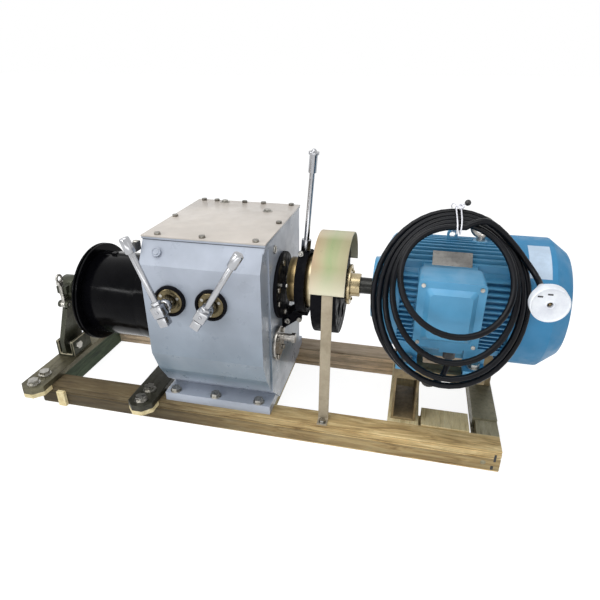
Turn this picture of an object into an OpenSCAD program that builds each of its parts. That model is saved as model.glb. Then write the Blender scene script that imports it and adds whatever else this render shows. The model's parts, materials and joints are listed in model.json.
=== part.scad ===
// Electric cable winch on a timber skid: drum, gearbox, clutch and motor in one line.
// X runs along the shaft line from the drum to the motor, Y away from the operator and Z up.
// The origin is the middle of the skid's underside.

/* [Skid] */
// Length of the timber skid
skid_len = 1158; // [1150:1:1190]
// Width over both timber rails
skid_w = 388; // [382:1:396]
// Height of the timbers
timber_h = 57; // [50:1:62]
// Depth of the front rail
front_rail_d = 52; // [50:1:56]
// Depth of the back rail
back_rail_d = 58; // [54:1:62]
// Width of the crossbeam at the drum end
left_beam_w = 32; // [26:1:36]
// Width of the crossbeam at the motor end
right_beam_w = 50; // [44:1:54]
// Thickness of one packing board
board_t = 30; // [24:1:32]

/* [Anchor bars] */
// Width of the flat steel bars
bar_w = 65; // [60:1:68]
// Thickness of the flat steel bars
bar_t = 15; // [10:1:18]
// Length by which a bar stands out past each rail
bar_reach = 50; // [44:1:60]
// Corner cut at the tips of a bar
bar_chamfer = 20; // [12:1:24]
// Thickness of the timber packing under a tip
tip_packing_t = 12; // [8:1:16]
// Distance of the drum support's bar from the skid's end, to its middle
drum_bar_in = 4.5; // [0:0.5:8]
// Distance of the gearbox's bar from the housing, to its middle
gearbox_bar_gap = 53.5; // [50:0.5:58]
// Shank diameter of the skid bolts
skid_bolt_d = 14; // [10:1:16]

/* [Shaft lines] */
// Height of the motor and input shaft line
shaft_z = 355; // [352:1:360]
// Distance of the shaft line in front of the skid's middle
shaft_front = 42; // [38:1:46]
// Height of the drum's axis
drum_z = 272; // [268:1:276]

/* [Gearbox] */
// Length of the housing along the shaft line
housing_len = 270; // [266:1:270]
// Height of the housing's top face
housing_top = 484; // [478:1:490]
// Wall thickness of the housing
housing_wall = 10; // [8:1:12]
// Distance from the shaft line to the front face
belly_front = 182.5; // [180:0.5:186]
// Distance from the shaft line to the back face
belly_back = 154; // [150:1:158]
// Height at which the front face starts to slope in at the top
shoulder_z = 437; // [430:1:445]
// Height at which the front face starts to curve in at the bottom
waist_z = 219; // [214:1:224]
// Thickness of the foot flange
flange_t = 23; // [18:1:26]
// Thickness of the top cover
cover_t = 8; // [6:1:10]
// Thickness of the cover gasket
gasket_t = 2; // [1:0.5:3]
// Diameter of the cover screws
screw_d = 8; // [6:1:8]

/* [Gear train] */
// Teeth of the input pinion
pinion_1_teeth = 14; // [13:1:15]
// Teeth of the second shaft's wheel
wheel_1_teeth = 54; // [52:1:56]
// Teeth of the second shaft's pinion
pinion_2_teeth = 13; // [13:1:15]
// Teeth of the third shaft's wheel
wheel_2_teeth = 57; // [55:1:58]
// Teeth of the third shaft's pinion
pinion_3_teeth = 14; // [13:1:15]
// Teeth of the drum shaft's wheel
wheel_3_teeth = 40; // [39:1:42]
// Face width of the gears
face_w = 26; // [20:1:28]

/* [Drum] */
// Radius of the barrel
barrel_r = 108; // [100:1:110]
// Radius of the flared end beside the gearbox
flare_r = 118; // [112:1:122]
// Radius of the rim flange
rim_r = 127; // [122:1:130]
// Thickness of the rim flange
rim_t = 14; // [10:1:16]
// Distance of the rim flange from the middle of the tail bearing
rim_gap = 90; // [88:1:94]
// Wall of the barrel
barrel_wall = 8; // [6:1:10]
// Radius of the drum shaft
drum_shaft_r = 22; // [20:1:24]
// Radius of the shaft's tail journal
tail_r = 17; // [15:1:18]

/* [Drum support] */
// Width of the bent support arm
arm_w = 80; // [74:1:84]
// Thickness of the bent support arm
arm_t = 12; // [10:1:14]
// Distance of the tail bearing's middle from its bar's middle
bearing_in = 34.5; // [32:0.5:37]
// Length of the tail bearing
bearing_len = 36; // [34:1:38]
// Outer radius of the tail bearing
bearing_r = 34; // [32:1:35]
// Diameter of the swing bolt
swing_d = 10; // [8:1:11]

/* [Clutch] */
// Radius of the clutch wheel
wheel_r = 116; // [110:1:116]
// Width of the clutch wheel
wheel_w = 56; // [54:1:58]
// Gap between the wheel and the guard
guard_gap = 3; // [2:1:5]
// Sheet thickness of the guard
guard_t = 3; // [2:0.5:3]
// Width of the guard
guard_w = 76; // [72:1:78]
// Radius of the sliding sleeve
sleeve_r = 54; // [52:1:56]
// Thickness of the fork's band
band_t = 9; // [7:1:11]
// Space from the housing to the clutch wheel
clutch_room = 86; // [86:1:90]
// Length of the clutch lever
lever_len = 216; // [190:1:230]

/* [Motor] */
// Gap between the fins and the stand
motor_gap = 4; // [4:1:6]
// Radius over the motor's fins
fin_r = 128; // [124:1:129]
// Depth of the fins
fin_depth = 12; // [10:1:14]
// Pitch of the fins
fin_pitch = 11; // [10:0.5:13]
// Distance of the motor's shaft shoulder from the skid's end
motor_in = 313; // [311:1:315]
// Length of the finned frame
frame_len = 215; // [213:1:217]
// Step from the fins out to the fan cowl
cowl_step = 10; // [8:1:11]
// Length of the fan cowl
cowl_len = 111; // [106:1:114]
// Distance between the foot bolts across the shaft line
foot_gauge = 216; // [212:1:218]
// Distance between the foot bolts along the shaft line
foot_base = 140; // [138:1:142]
// Radius of the motor shaft
motor_shaft_r = 19; // [18:1:20]
// Width of the terminal box
box_w = 122; // [116:1:126]
// Height of the terminal box
box_h = 138; // [132:1:142]
// Depth of the terminal box without its lid
box_d = 63; // [58:1:65]

/* [Shift levers] */
// Length of the shift levers from their shafts to their tips
shift_len = 164; // [150:1:172]
// Radius of the levers' rods
shift_rod_r = 6.5; // [5:0.5:7.5]
// Radius of the levers' grips
grip_r = 10.5; // [9:0.5:12]

/* [Cable] */
// Diameter of the cable
cable_d = 12; // [10:1:12]

/* [Hidden] */
$fn = 64;
blue = [0.18, 0.36, 0.6];
black = [0.08, 0.08, 0.09];

// Shared clearances
// Radial gap of a turning fit
fit = 0.05;
// Gap between pieces that pass each other
gap = 0.3;
// Radial gap round a bolt
bolt_gap = 0.3;
// Overrun of cuts
over = 1;

// Places along the skid: the drum hangs on the left end, the motor and the gearbox on the right
skid_end = skid_len / 2;
drum_bar_x = drum_bar_in - skid_end;
bearing_x = drum_bar_x + bearing_in;
rim_x = bearing_x + rim_gap;
motor_x = skid_end - motor_in;
shaft_show = 30;
coupling_flange_w = 9;
coupling_hub_w = 21;
hub_len = 10;
coupling_end = motor_x - shaft_show;
coupling_x = coupling_end - coupling_hub_w - coupling_flange_w;
wheel_x = coupling_x - hub_len - wheel_w;
housing_x1 = wheel_x - clutch_room;
housing_x0 = housing_x1 - housing_len;
gearbox_bar_x = housing_x0 - gearbox_bar_gap;

// Places across the skid
axis_y = -shaft_front;
front_y = -skid_w / 2;
back_y = skid_w / 2;
front_inner_y = front_y + front_rail_d;
back_inner_y = back_y - back_rail_d;
bar_half = skid_w / 2 + bar_reach;
bar_top = timber_h + bar_t;

// Heads of bolts and screws, as shares of the shank
head_r_share = 0.95;
head_h_share = 0.65;
washer_r_share = 1.15;
washer_h_share = 0.2;
skid_bolt_depth = 40;
foot_bolt_d = 12;
rail_bolt_inset = 20;
tip_bolt_inset = 27;

// Beams and boards
gear_beam_in = 54;
stand_beam_in = 96;
gear_beam_x = housing_x1 - gear_beam_in;
stand_beam_x = motor_x + stand_beam_in;
middle_beam_w = 72;
boards_gap = 10;
boards_d = 71;
board_step = 6;
batten_in = 63;
batten_x = batten_in - skid_end;
batten_w = 22;
batten_t = 9;
batten_h = 44;
channel_t = 6;
channel_front = 92;
channel_back = 88;

// Drum support
socket_t = 8;
socket_w = 52;
socket_h = 48;
cross_bolt_d = 12;
cross_bolt_up = 31;
cross_bolt_side = 19;
arm_foot_back = 5.5;
arm_foot_x = drum_bar_x - arm_foot_back;
arm_knee_up = 46;
arm_top_drop = 30;
bush_t = 6;
bush_r = tail_r + bush_t;
latch_out = 10;
latch_reach = bearing_r + latch_out;
latch_y = axis_y - latch_reach;
hinge_y = axis_y + latch_reach;
latch_z = drum_z - arm_top_drop;
latch_w = 28;
ear_h = 20;
eye_w = 11;
eye_r = 9;
pin_r = 4;
knuckle_r = 8;
nut_slack = 7;
nut_h = 8;
nut_r = 9.5;
swing_eye_r = 9;
swing_wire_r = 3;

// Gearbox
belly_y0 = axis_y - belly_front;
belly_y1 = axis_y + belly_back;
slope_in = 28.5;
rim_top_y = belly_y0 + slope_in;
flange_top = timber_h + flange_t;
flange_front_in = 10;
flange_back_in = 29;
flange_front_y = front_y + flange_front_in;
flange_back_y = back_y - flange_back_in;
flange_shift = 4;
rim_w = 18;
cover_lip = 2.5;
screw_inset = 8.5;
screw_depth = 14;
gasket_z = housing_top;
cover_z = gasket_z + gasket_t;
cover_top = cover_z + cover_t;
front_screw_shares = [0.09, 0.49, 0.95];
back_screw_shares = [0.03, 0.17, 0.47, 0.67, 0.96];
side_screw_shares = [0.46];
cover_depth = belly_y1 - rim_top_y;
foot_screw_shares = [0.07, 0.46, 0.87];
foot_front_inset = 13;
foot_back_inset = 15;
web_t = 12;
plug_r = 9;
plug_h = 6;
cover_plug_shares = [[0.77, 0.76], [0.28, 0.95]];
slope_plug_share = 0.155;
side_plug_front = 85;
side_plug_drop = 26;
side_plug_y = axis_y - side_plug_front;
side_plug_z = housing_top - side_plug_drop;
// Terminal block with a round bolt at the left wall's front corner
post_w = 22;
post_t = 14;
post_bolt_r = 7;
post_bolt_h = 6;
// Raised face of the right wall: it stands behind the front edge and goes round the lower cover
step_depth = 3;
step_front = 126;
step_r = 42;
// Body outline in Y and Z, and how far its lower front curve steps in and down
curve_in_shares = [0, 0.24, 0.6, 1];
curve_down_shares = [0, 0.39, 0.76, 1];
curve_in = 93.5;
curve_h = waist_z - flange_top;

// Shaft places in Y and Z
line_a = [axis_y, shaft_z];
second_front = 76;
second_drop = 37;
third_front = 60;
third_drop = 43;
line_b = [axis_y - second_front, shaft_z - second_drop];
line_c = [axis_y - third_front, drum_z - third_drop];
line_d = [axis_y, drum_z];
second_r = 12;
third_r = 14;
stub_r = 9;
input_r = 18;
pinion_shaft_r = 12;
stage_1_in = 44;
stage_2_in = 100;
stage_3_in = 32;
web_gap = 14;
stage_1_x = housing_x1 - stage_1_in;
stage_2_x = housing_x1 - stage_2_in;
stage_3_x = housing_x0 + stage_3_in;
web_x = stage_2_x - web_gap - web_t;
pressure_angle = 20;
addendum_share = 0.8;
dedendum_share = 1.2;
tooth_share = 0.455;

// Covers on the right wall
// The input flange spans two bearings, so its middle lies in front of and below the shaft line
input_flange_r = 79;
input_flange_t = 8;
flange_front = 28;
flange_drop = 4;
input_flange_at = [axis_y - flange_front, shaft_z - flange_drop];
flange_screw_r = 65;
flange_screw_angles = [107, 168, 199, 260];
lower_cover_r = 41;
lower_front = 82;
lower_drop = 48;
lower_cover_at = [axis_y - lower_front, drum_z - lower_drop];
lower_screw_r = 33;
lower_screws_n = 4;
stub_shoulder_r = 11;
stub_out = 40;

// Clutch
sleeve_in = 17.5;
fork_in = 40;
sleeve_x0 = housing_x1 + sleeve_in;
fork_x = housing_x1 + fork_in;
fork_w = 22;
pad_r = 5;
pad_gap = 0.5;
groove_depth = 5;
collar_x = fork_x + fork_w;
collar_w = 22;
collar_step = 8;
band_gap = 4;
collar_r = sleeve_r + collar_step;
band_in_r = collar_r + band_gap;
band_r = band_in_r + band_t;
neck_r = 40;
disc_r_gap = 6;
disc_w = 9.5;
wheel_rim = 12;
wheel_web = 10;
wheel_hub_r = 35;
spoke_hole_r = 17;
spoke_holes = 6;
pilot_r = 12;
key_w = 10;
key_h = 3;
coupling_flange_r = 47;
coupling_hub_r = 27;
coupling_bolts = 6;
coupling_bolt_d = 8;
pivot_back = 2;
pivot_drop = 83;
pivot_x = fork_x - pivot_back;
pivot_z = shaft_z - pivot_drop;
pivot_r = 6;
boss_r = 10;
bracket_w = 60;
bracket_cheek = 8;
bracket_base_t = 6;
bracket_h = 36;
guard_lead = 2;
guard_x = wheel_x - guard_lead;
guard_r = wheel_r + guard_gap + guard_t;
guard_angle = 80;
leg_in = 26;
leg_x = wheel_x + leg_in;
leg_w = 24;
leg_t = 4;
leg_foot_in = 22;
leg_foot_y = front_y + leg_foot_in;
leg_foot_len = 23;
leg_lap = 100;
hug_steps = 5;
hug_step = 4;
lever_lean = 4.4;
lever_r = 6;
lever_grip_r = 9;
lever_grip_len = 38;
lever_rim_r = 11.5;
lever_rim_h = 6;
lever_clamp_r = 11;
lever_clamp_h = 26;
lever_seat = 3 * gap;

// Motor
shield_len = 63;
shield_face_in = 58;
shield_rim = 18;
shield_slope_shares = [1.6, 1.2];
shield_back_share = 1.5;
frame_r = fin_r - fin_depth;
cowl_r = fin_r + cowl_step;
motor_h = fin_r + motor_gap;
shield_face_r = fin_r - shield_face_in;
frame_x0 = motor_x + shield_len;
frame_x1 = frame_x0 + frame_len;
rear_shield_w = 14;
foot_in = 26;
foot_x0 = frame_x0 + foot_in;
foot_t = 14;
foot_w = 42;
foot_pad = 44;
foot_web_share = 0.8;
foot_side_shares = [0.85, 0.3];
foot_under_shares = [0.5, 0.7];
fin_t = 3;
fin_rows = 7;
frame_wall = 12;
core_depth = 38;
stator_r = frame_r - frame_wall;
air_r = stator_r - core_depth;
stator_in = 36;
stator_x0 = frame_x0 + stator_in;
stator_len = frame_len - 2 * stator_in;
cowl_t = 3;
cowl_x0 = frame_x1;
cowl_cone = 35;
cowl_taper = 26;
cowl_end_r = cowl_r - cowl_taper;
grille_holes = [6, 12, 18];
grille_step_share = 0.232;
grille_step = cowl_end_r * grille_step_share;
grille_r = 6;
cowl_gap = 1;
cowl_pad_w = 20;
fan_in = 34;
fan_gap = 25;
fan_x0 = frame_x1 + fan_in;
fan_w = 34;
fan_r = cowl_r - cowl_t - fan_gap;
fan_blades = 8;
blade_t = 4;
fan_hub_r = 30;
rear_shaft_r = 15;
box_in = 32;
box_drop = 32;
box_sink = 8;
box_x0 = frame_x0 + box_in;
box_z0 = shaft_z - box_drop;
box_y1 = axis_y - fin_r + box_sink;
box_y0 = box_y1 - box_d;
box_wall = 5;
box_corner = 8;
lid_t = 9;
lid_raise = 9;
lid_rim = 14;
lid_screw_inset = 9;
gland_in = 75;
gland_back = 25;
gland_x = box_x0 + gland_in;
gland_y = box_y0 + gland_back;
gland_boss_w = 44;
gland_boss_d = 36;
gland_boss_h = 18;
gland_hex_r = 15;
gland_hex_h = 8;
gland_dome_h = 12;
gland_dome_r = 12;
gland_z = box_z0 - gland_boss_h;
gland_end = gland_z - gland_hex_h - gland_dome_h;
lug_in = 95;
lug_x = frame_x0 + lug_in;
lug_w = 24;
lug_t = 8;
lug_up = 10;
lug_r = 11;
lug_hole_r = 6;
rear_lug_in = 34;
rear_lug_back = 62;
rear_lug_x = frame_x1 - rear_lug_in;
eye_in = 62;
eye_x = frame_x1 - eye_in;
eye_ring_r = 19;
eye_wire_r = 5;
eye_neck_r = 9;
eye_neck_h = 10;

// Stand under the motor
stand_top = shaft_z - motor_h;
side_plate_t = 6;
pedestal_in = 67;
pedestal_x0 = motor_x + pedestal_in;
pedestal_w = 57;
pedestal_front = 131;
pedestal_back = 90;
tie_plate_t = 8;
rail_w = 36;
rail_t = 17;
rails_in = 64;
rails_x0 = motor_x + rails_in;
front_rail_len = 189;
back_rail_gap = 4;
back_rail_len = skid_end - back_rail_gap - rails_x0;
cross_in = 150;
cross_x = rails_x0 + cross_in;
cross_w = 30;
stand_post_w = 36;

// Shift levers
shift_ins = [64, 158];
shift_drop = 77;
shift_x = [for (d = shift_ins) housing_x0 + d];
shift_z = shoulder_z - shift_drop;
shift_lean = [-20.5, 32];
collar_plate_r = 35;
collar_plate_t = 9.5;
shift_shaft_r = 9;
shift_hub_w = 26;
shift_hub_len = 64;
shift_rod_out = 41;
shift_nut_r = 11;
shift_nut_h = 8;
grip_len = 34;

// Cable route: loops lean on the motor, drawn in step by step, and end at the tie
cable_r = cable_d / 2;
coil_x = lug_x;
coil_up = [0, 0.515, 0.857];
coil_out = [0, -0.857, 0.515];
coil_turns = 4.5;
coil_start = 0.05;
coil_rings = 24;
coil_half_w = [151, 95];
coil_half_h = [172, 88];
coil_tops = [22, -28];
coil_top = [for (d = coil_tops) fin_r + d];
coil_clear = 17;
coil_stand = fin_r + coil_clear;
coil_pitch = 13;
coil_bulge = 50;
bulge_shares = [2.5, 1.5];
coil_sides = 6;
lead_side = [0, 0.1, 1];
tail_side = [0, 1, 0.1];
lead_steps = [[0, 0, 0], [0, 0, -12], [-3, -8, -27], [-12, -24, -38], [-26, -42, -40], [-40, -56, -33]];
lead_points = [for (d = lead_steps) [gland_x, gland_y, gland_end] + d];
tail_steps = [[26, -121, 199], [50, -116, 202], [79, -111, 183], [108, -110, 155], [129, -114, 131],
  [144, -126, 114], [151, -144, 105], [152, -158, 102], [152, -171, 102]];
tail_points = [for (d = tail_steps) [coil_x, axis_y, shaft_z] + d];
plug_len = 50;
plug_r_out = 32;
plug_neck = 22;
plug_neck_r = 9;
plug_shell_r = 20;
tie_w = 6;
tie_t = 2;
tie_spread = 14;

// Helpers: local Z runs along X, with local X along Y and local Y along Z
module along_x(x, at = [0, 0]) {
  translate([x, at[0], at[1]])
    rotate([90, 0, 90])
      children();
}

module along_y(x, y, z) {
  translate([x, y, z])
    rotate([-90, 0, 0])
      children();
}

module block(lo, hi) {
  translate(lo)
    cube(hi - lo);
}

module rod_x(x0, x1, r, at) {
  along_x(x0, at)
    cylinder(r = r, h = x1 - x0);
}

module rod_y(y0, y1, r, x, z) {
  along_y(x, y0, z)
    cylinder(r = r, h = y1 - y0);
}

// A hexagon bolt with its washer on the plane z = 0 and its shank below
module hex_bolt(d, depth) {
  washer_h = d * washer_h_share;
  translate([0, 0, -depth])
    cylinder(d = d, h = depth + washer_h);
  cylinder(r = d * washer_r_share, h = washer_h);
  translate([0, 0, washer_h / 2])
    cylinder(r = d * head_r_share, h = d * head_h_share + washer_h / 2, $fn = 6);
}

module bolt_hole(d, depth) {
  translate([0, 0, -depth - over])
    cylinder(d = d + 2 * bolt_gap, h = depth + 2 * over);
}

// Moves every point of a closed outline inwards by d
function inset(p, d) = [
  for (i = [0 : len(p) - 1])
    let (
      a = p[(i + len(p) - 1) % len(p)],
      b = p[i],
      c = p[(i + 1) % len(p)],
      u = (b - a) / norm(b - a),
      v = (c - b) / norm(c - b),
      n = [-u[1] - v[1], u[0] + v[0]]
    )
    b + n * d / (1 + u[0] * v[0] + u[1] * v[1])
];

// Places of the skid bolts: two through each end of each bar
bar_bolt_ys = [front_y + rail_bolt_inset, -bar_half + tip_bolt_inset,
  back_y - rail_bolt_inset, bar_half - tip_bolt_inset];
bar_xs = [drum_bar_x, gearbox_bar_x];
tip_bolt_depth = bar_t + tip_packing_t;

module at_rail_bolts() {
  for (x = bar_xs, y = [bar_bolt_ys[0], bar_bolt_ys[2]])
    translate([x, y, bar_top])
      children();
}

module at_tip_bolts() {
  for (x = bar_xs, y = [bar_bolt_ys[1], bar_bolt_ys[3]])
    translate([x, y, bar_top])
      children();
}

// Places of the gearbox foot bolts on the front and back flanges
module at_gearbox_feet() {
  for (share = foot_screw_shares, y = [flange_front_y + foot_front_inset, flange_back_y - foot_back_inset])
    translate([housing_x0 + share * housing_len, y, flange_top])
      children();
}

module at_motor_feet() {
  for (x = [foot_x0, foot_x0 + foot_base], side = [-1, 1])
    translate([x, axis_y + side * foot_gauge / 2, stand_top + foot_t])
      children();
}

// Skid timbers
module rail_holes() {
  at_rail_bolts() bolt_hole(skid_bolt_d, skid_bolt_depth + bar_t);
  at_gearbox_feet() bolt_hole(foot_bolt_d, skid_bolt_depth + flange_t);
}

module front_rail() {
  color("burlywood")
    difference() {
      block([-skid_end, front_y, 0], [skid_end, front_inner_y, timber_h]);
      rail_holes();
      leg_bolt_place() bolt_hole(leg_bolt_d, skid_bolt_depth + leg_t);
    }
}

module back_rail() {
  color("burlywood")
    difference() {
      block([-skid_end, back_inner_y, 0], [skid_end, back_y, timber_h]);
      rail_holes();
    }
}

module left_crossbeam() {
  color("darkseagreen")
    block([-skid_end, front_inner_y, 0], [-skid_end + left_beam_w, back_inner_y, timber_h]);
}

// One beam under the gearbox and one under the motor stand
module middle_crossbeams() {
  half = middle_beam_w / 2;
  color("burlywood")
    for (x = [gear_beam_x, stand_beam_x])
      block([x - half, front_inner_y, 0], [x + half, back_inner_y, timber_h]);
}

module right_crossbeam() {
  color("burlywood")
    block([skid_end - right_beam_w, front_inner_y, 0], [skid_end, back_inner_y, timber_h]);
}

// Loose timber: boards stacked behind the front rail, packing under the bar tips, a face batten
module packing_boards() {
  boards = floor((timber_h + board_t) / board_t);
  boards_x0 = stand_beam_x + middle_beam_w / 2 + gap;
  boards_x1 = skid_end - right_beam_w - boards_gap;
  color("tan") {
    for (i = [0 : boards - 1])
      block([boards_x0 + i * board_step, front_inner_y, i * board_t],
        [boards_x1 - i * board_step, front_inner_y + boards_d - i * board_step, (i + 1) * board_t]);
    for (x = bar_xs, side = [-1, 1])
      difference() {
        translate([x, 0, timber_h - tip_packing_t])
          linear_extrude(tip_packing_t)
            polygon(bar_end(side, skid_w / 2));
        at_tip_bolts() bolt_hole(skid_bolt_d, tip_bolt_depth);
      }
    block([batten_x - batten_w / 2, front_y - batten_t, 0], [batten_x + batten_w / 2, front_y, batten_h]);
  }
}

// Outline of a bar's end with its cut corners, from a line across the bar outwards
function bar_end(side, from) =
  let (half = bar_w / 2)
  [for (p = [[half, from], [half, bar_half - bar_chamfer], [half - bar_chamfer, bar_half],
    [bar_chamfer - half, bar_half], [-half, bar_half - bar_chamfer], [-half, from]])
    side * p];

// A flat bar across both rails with cut corners
module anchor_bar(x) {
  difference() {
    translate([x, 0, timber_h])
      linear_extrude(bar_t)
        polygon(concat(bar_end(1, over), bar_end(-1, over)));
    at_rail_bolts() bolt_hole(skid_bolt_d, bar_t);
    at_tip_bolts() bolt_hole(skid_bolt_d, bar_t);
  }
}

module drum_bar() {
  color("darkkhaki") anchor_bar(drum_bar_x);
}

module gearbox_bar() {
  color("darkkhaki") anchor_bar(gearbox_bar_x);
}

module skid_bolts() {
  color("gray") {
    at_rail_bolts() hex_bolt(skid_bolt_d, skid_bolt_depth + bar_t);
    at_tip_bolts() hex_bolt(skid_bolt_d, tip_bolt_depth);
    leg_bolt_place() hex_bolt(leg_bolt_d, skid_bolt_depth + leg_t);
  }
}

module beam_channel() {
  lip = channel_t;
  x0 = skid_end - right_beam_w - lip;
  color("olive")
    difference() {
      block([x0, -channel_front, timber_h - 4 * lip], [skid_end, channel_back, timber_h + channel_t]);
      block([x0 + lip, -channel_front - over, timber_h - 5 * lip],
        [skid_end + over, channel_back + over, timber_h]);
    }
}

// Drum support: rods that reach equally far to both sides of the tail bearing's middle
module bearing_rod(half, r, at) {
  rod_x(bearing_x - half, bearing_x + half, r, at);
}

module cross_bolt_cut(r) {
  rod_x(drum_bar_x - socket_w / 2 - over, drum_bar_x + socket_w / 2 + over, r, [axis_y - cross_bolt_side,
    bar_top + cross_bolt_up]);
}

module arm_socket() {
  x0 = drum_bar_x - socket_w / 2;
  color("dimgray")
    difference() {
      block([x0, axis_y - arm_w / 2, bar_top], [x0 + socket_w, axis_y + arm_w / 2, bar_top + socket_h]);
      block([x0 + socket_t, axis_y - arm_w / 2 - over, bar_top + socket_t],
        [x0 + socket_w - socket_t, axis_y + arm_w / 2 + over, bar_top + socket_h + over]);
      cross_bolt_cut(cross_bolt_d / 2 + bolt_gap);
    }
}

// The arm leans from the socket to the bearing, and its top is the bearing's lower half
module support_arm() {
  knee_z = bar_top + arm_knee_up;
  half = arm_t / 2;
  color("dimgray")
    difference() {
      union() {
        translate([0, axis_y + arm_w / 2, 0])
          rotate([90, 0, 0])
            linear_extrude(arm_w)
              polygon([
                [arm_foot_x - half, bar_top + socket_t],
                [arm_foot_x + half, bar_top + socket_t],
                [arm_foot_x + half, knee_z],
                [bearing_x + half, latch_z],
                [bearing_x + half, drum_z - bush_r / 2],
                [bearing_x - half, drum_z - bush_r / 2],
                [bearing_x - half, latch_z + half],
                [arm_foot_x - half, knee_z + half]
              ]);
        intersection() {
          bearing_rod(bearing_len / 2, bearing_r, line_d);
          block([bearing_x - bearing_len, axis_y - bearing_r, drum_z - bearing_r],
            [bearing_x + bearing_len, axis_y + bearing_r, drum_z - gap / 2]);
        }
        // Latch lug at the front and hinge lugs at the back
        block([bearing_x - latch_w / 2, latch_y, latch_z - eye_r], [bearing_x + latch_w / 2,
          axis_y - arm_w / 2 + over, latch_z + eye_r]);
        bearing_rod(latch_w / 2, eye_r, [latch_y, latch_z]);
        block([bearing_x - bearing_len / 2, axis_y, drum_z - knuckle_r - bearing_r / 2],
          [bearing_x + bearing_len / 2, hinge_y, drum_z - knuckle_r]);
        for (x = [bearing_x - bearing_len / 2, bearing_x + bearing_len / 4]) {
          rod_x(x, x + bearing_len / 4, knuckle_r, [hinge_y, drum_z]);
          block([x, hinge_y - knuckle_r, drum_z - knuckle_r - over],
            [x + bearing_len / 4, hinge_y + knuckle_r, drum_z]);
        }
      }
      bearing_rod(bearing_len, bush_r, line_d);
      block([bearing_x - eye_w / 2 - gap, latch_y - 2 * eye_r, latch_z - 2 * eye_r],
        [bearing_x + eye_w / 2 + gap, latch_y + eye_r + gap, drum_z]);
      bearing_rod(latch_w, pin_r, [latch_y, latch_z]);
      bearing_rod(bearing_len, pin_r, [hinge_y, drum_z]);
      cross_bolt_cut(cross_bolt_d / 2 + bolt_gap);
    }
}

module tail_bush() {
  color("goldenrod")
    difference() {
      bearing_rod(bearing_len / 2, bush_r, line_d);
      bearing_rod(bearing_len, tail_r + fit, line_d);
    }
}

module support_pins() {
  half = socket_w / 2;
  cross_z = bar_top + cross_bolt_up;
  cross_y = axis_y - cross_bolt_side;
  color("silver") {
    rod_x(drum_bar_x - half, drum_bar_x + half + over, cross_bolt_d / 2, [cross_y, cross_z]);
    for (x = [drum_bar_x - half - cross_bolt_d * head_h_share, drum_bar_x + half])
      along_x(x, [cross_y, cross_z])
        cylinder(r = cross_bolt_d * head_r_share, h = cross_bolt_d * head_h_share, $fn = 6);
    bearing_rod(latch_w / 2, pin_r, [latch_y, latch_z]);
    bearing_rod(bearing_len / 2, pin_r, [hinge_y, drum_z]);
  }
}

module bearing_cap() {
  knuckle = bearing_len / 4 - gap;
  color("dimgray")
    difference() {
      union() {
        intersection() {
          bearing_rod(bearing_len / 2, bearing_r, line_d);
          block([bearing_x - bearing_len, axis_y - bearing_r, drum_z + gap / 2],
            [bearing_x + bearing_len, axis_y + bearing_r, drum_z + bearing_r]);
        }
        block([bearing_x - latch_w / 2, latch_y, drum_z + gap / 2],
          [bearing_x + latch_w / 2, axis_y - bush_r, drum_z + ear_h]);
        block([bearing_x - knuckle, axis_y + bush_r, drum_z + gap / 2],
          [bearing_x + knuckle, hinge_y, drum_z + knuckle_r]);
        bearing_rod(knuckle, knuckle_r, [hinge_y, drum_z]);
      }
      bearing_rod(bearing_len, bush_r + gap / 2, line_d);
      bearing_rod(bearing_len, pin_r + fit, [hinge_y, drum_z]);
      block([bearing_x - swing_d / 2 - gap, latch_y - over, drum_z - over],
        [bearing_x + swing_d / 2 + gap, latch_y + swing_d / 2 + gap, drum_z + ear_h + over]);
    }
}

module swing_bolt() {
  nut_z = drum_z + ear_h + nut_slack;
  ring_z = nut_z + nut_h + swing_eye_r;
  color("silver")
    difference() {
      union() {
        bearing_rod(eye_w / 2, eye_r, [latch_y, latch_z]);
        translate([bearing_x, latch_y, latch_z + pin_r + over])
          cylinder(d = swing_d, h = nut_z + nut_h - latch_z - pin_r - over);
        translate([bearing_x, latch_y, nut_z])
          cylinder(r = nut_r, h = nut_h, $fn = 6);
        translate([bearing_x, latch_y, ring_z])
          rotate([0, 90, 0])
            rotate_extrude()
              translate([swing_eye_r, 0])
                circle(r = swing_wire_r);
      }
      bearing_rod(eye_w, pin_r + fit, [latch_y, latch_z]);
    }
}

// Drum
drum_gap = 6;
drum_end_x = housing_x0 - drum_gap;
barrel_x0 = rim_x + rim_t;
flare_len_share = 0.3645;
flare_x = drum_end_x - (drum_end_x - barrel_x0) * flare_len_share;
drum_web_t = 10;
flare_share = 0.6;
drum_hub_r = 44;
rope_lug_in = 43;
rope_lug_x = barrel_x0 + rope_lug_in;
rope_lug = 14;

module drum_barrel() {
  color(black) {
    along_x(0, line_d)
      rotate_extrude()
        polygon([
          [barrel_r - barrel_wall, barrel_x0],
          [barrel_r, barrel_x0],
          [barrel_r, flare_x],
          [flare_r, flare_x + (drum_end_x - flare_x) * flare_share],
          [flare_r, drum_end_x],
          [drum_shaft_r, drum_end_x],
          [drum_shaft_r, drum_end_x - drum_web_t],
          [flare_r - barrel_wall, drum_end_x - drum_web_t],
          [barrel_r - barrel_wall, flare_x]
        ]);
    translate([rope_lug_x - rope_lug / 2, axis_y - rope_lug / 2, drum_z + barrel_r - barrel_wall / 2])
      cube([rope_lug, rope_lug, barrel_wall]);
  }
}

module drum_flange() {
  color(black)
    difference() {
      union() {
        rod_x(rim_x, rim_x + rim_t / 3, rim_r, line_d);
        rod_x(rim_x + rim_t / 3, rim_x + rim_t * 2 / 3, rim_r - rim_t / 3, line_d);
        rod_x(rim_x + rim_t * 2 / 3, rim_x + rim_t, rim_r, line_d);
        rod_x(rim_x - drum_web_t, rim_x, drum_hub_r, line_d);
      }
      rod_x(rim_x - 2 * drum_web_t, barrel_x0 + over, drum_shaft_r, line_d);
    }
}

// Gears: a point of the involute flank at radius r, as an angle from the tooth's middle
function inv(a) = tan(a) - a * PI / 180;

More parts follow.
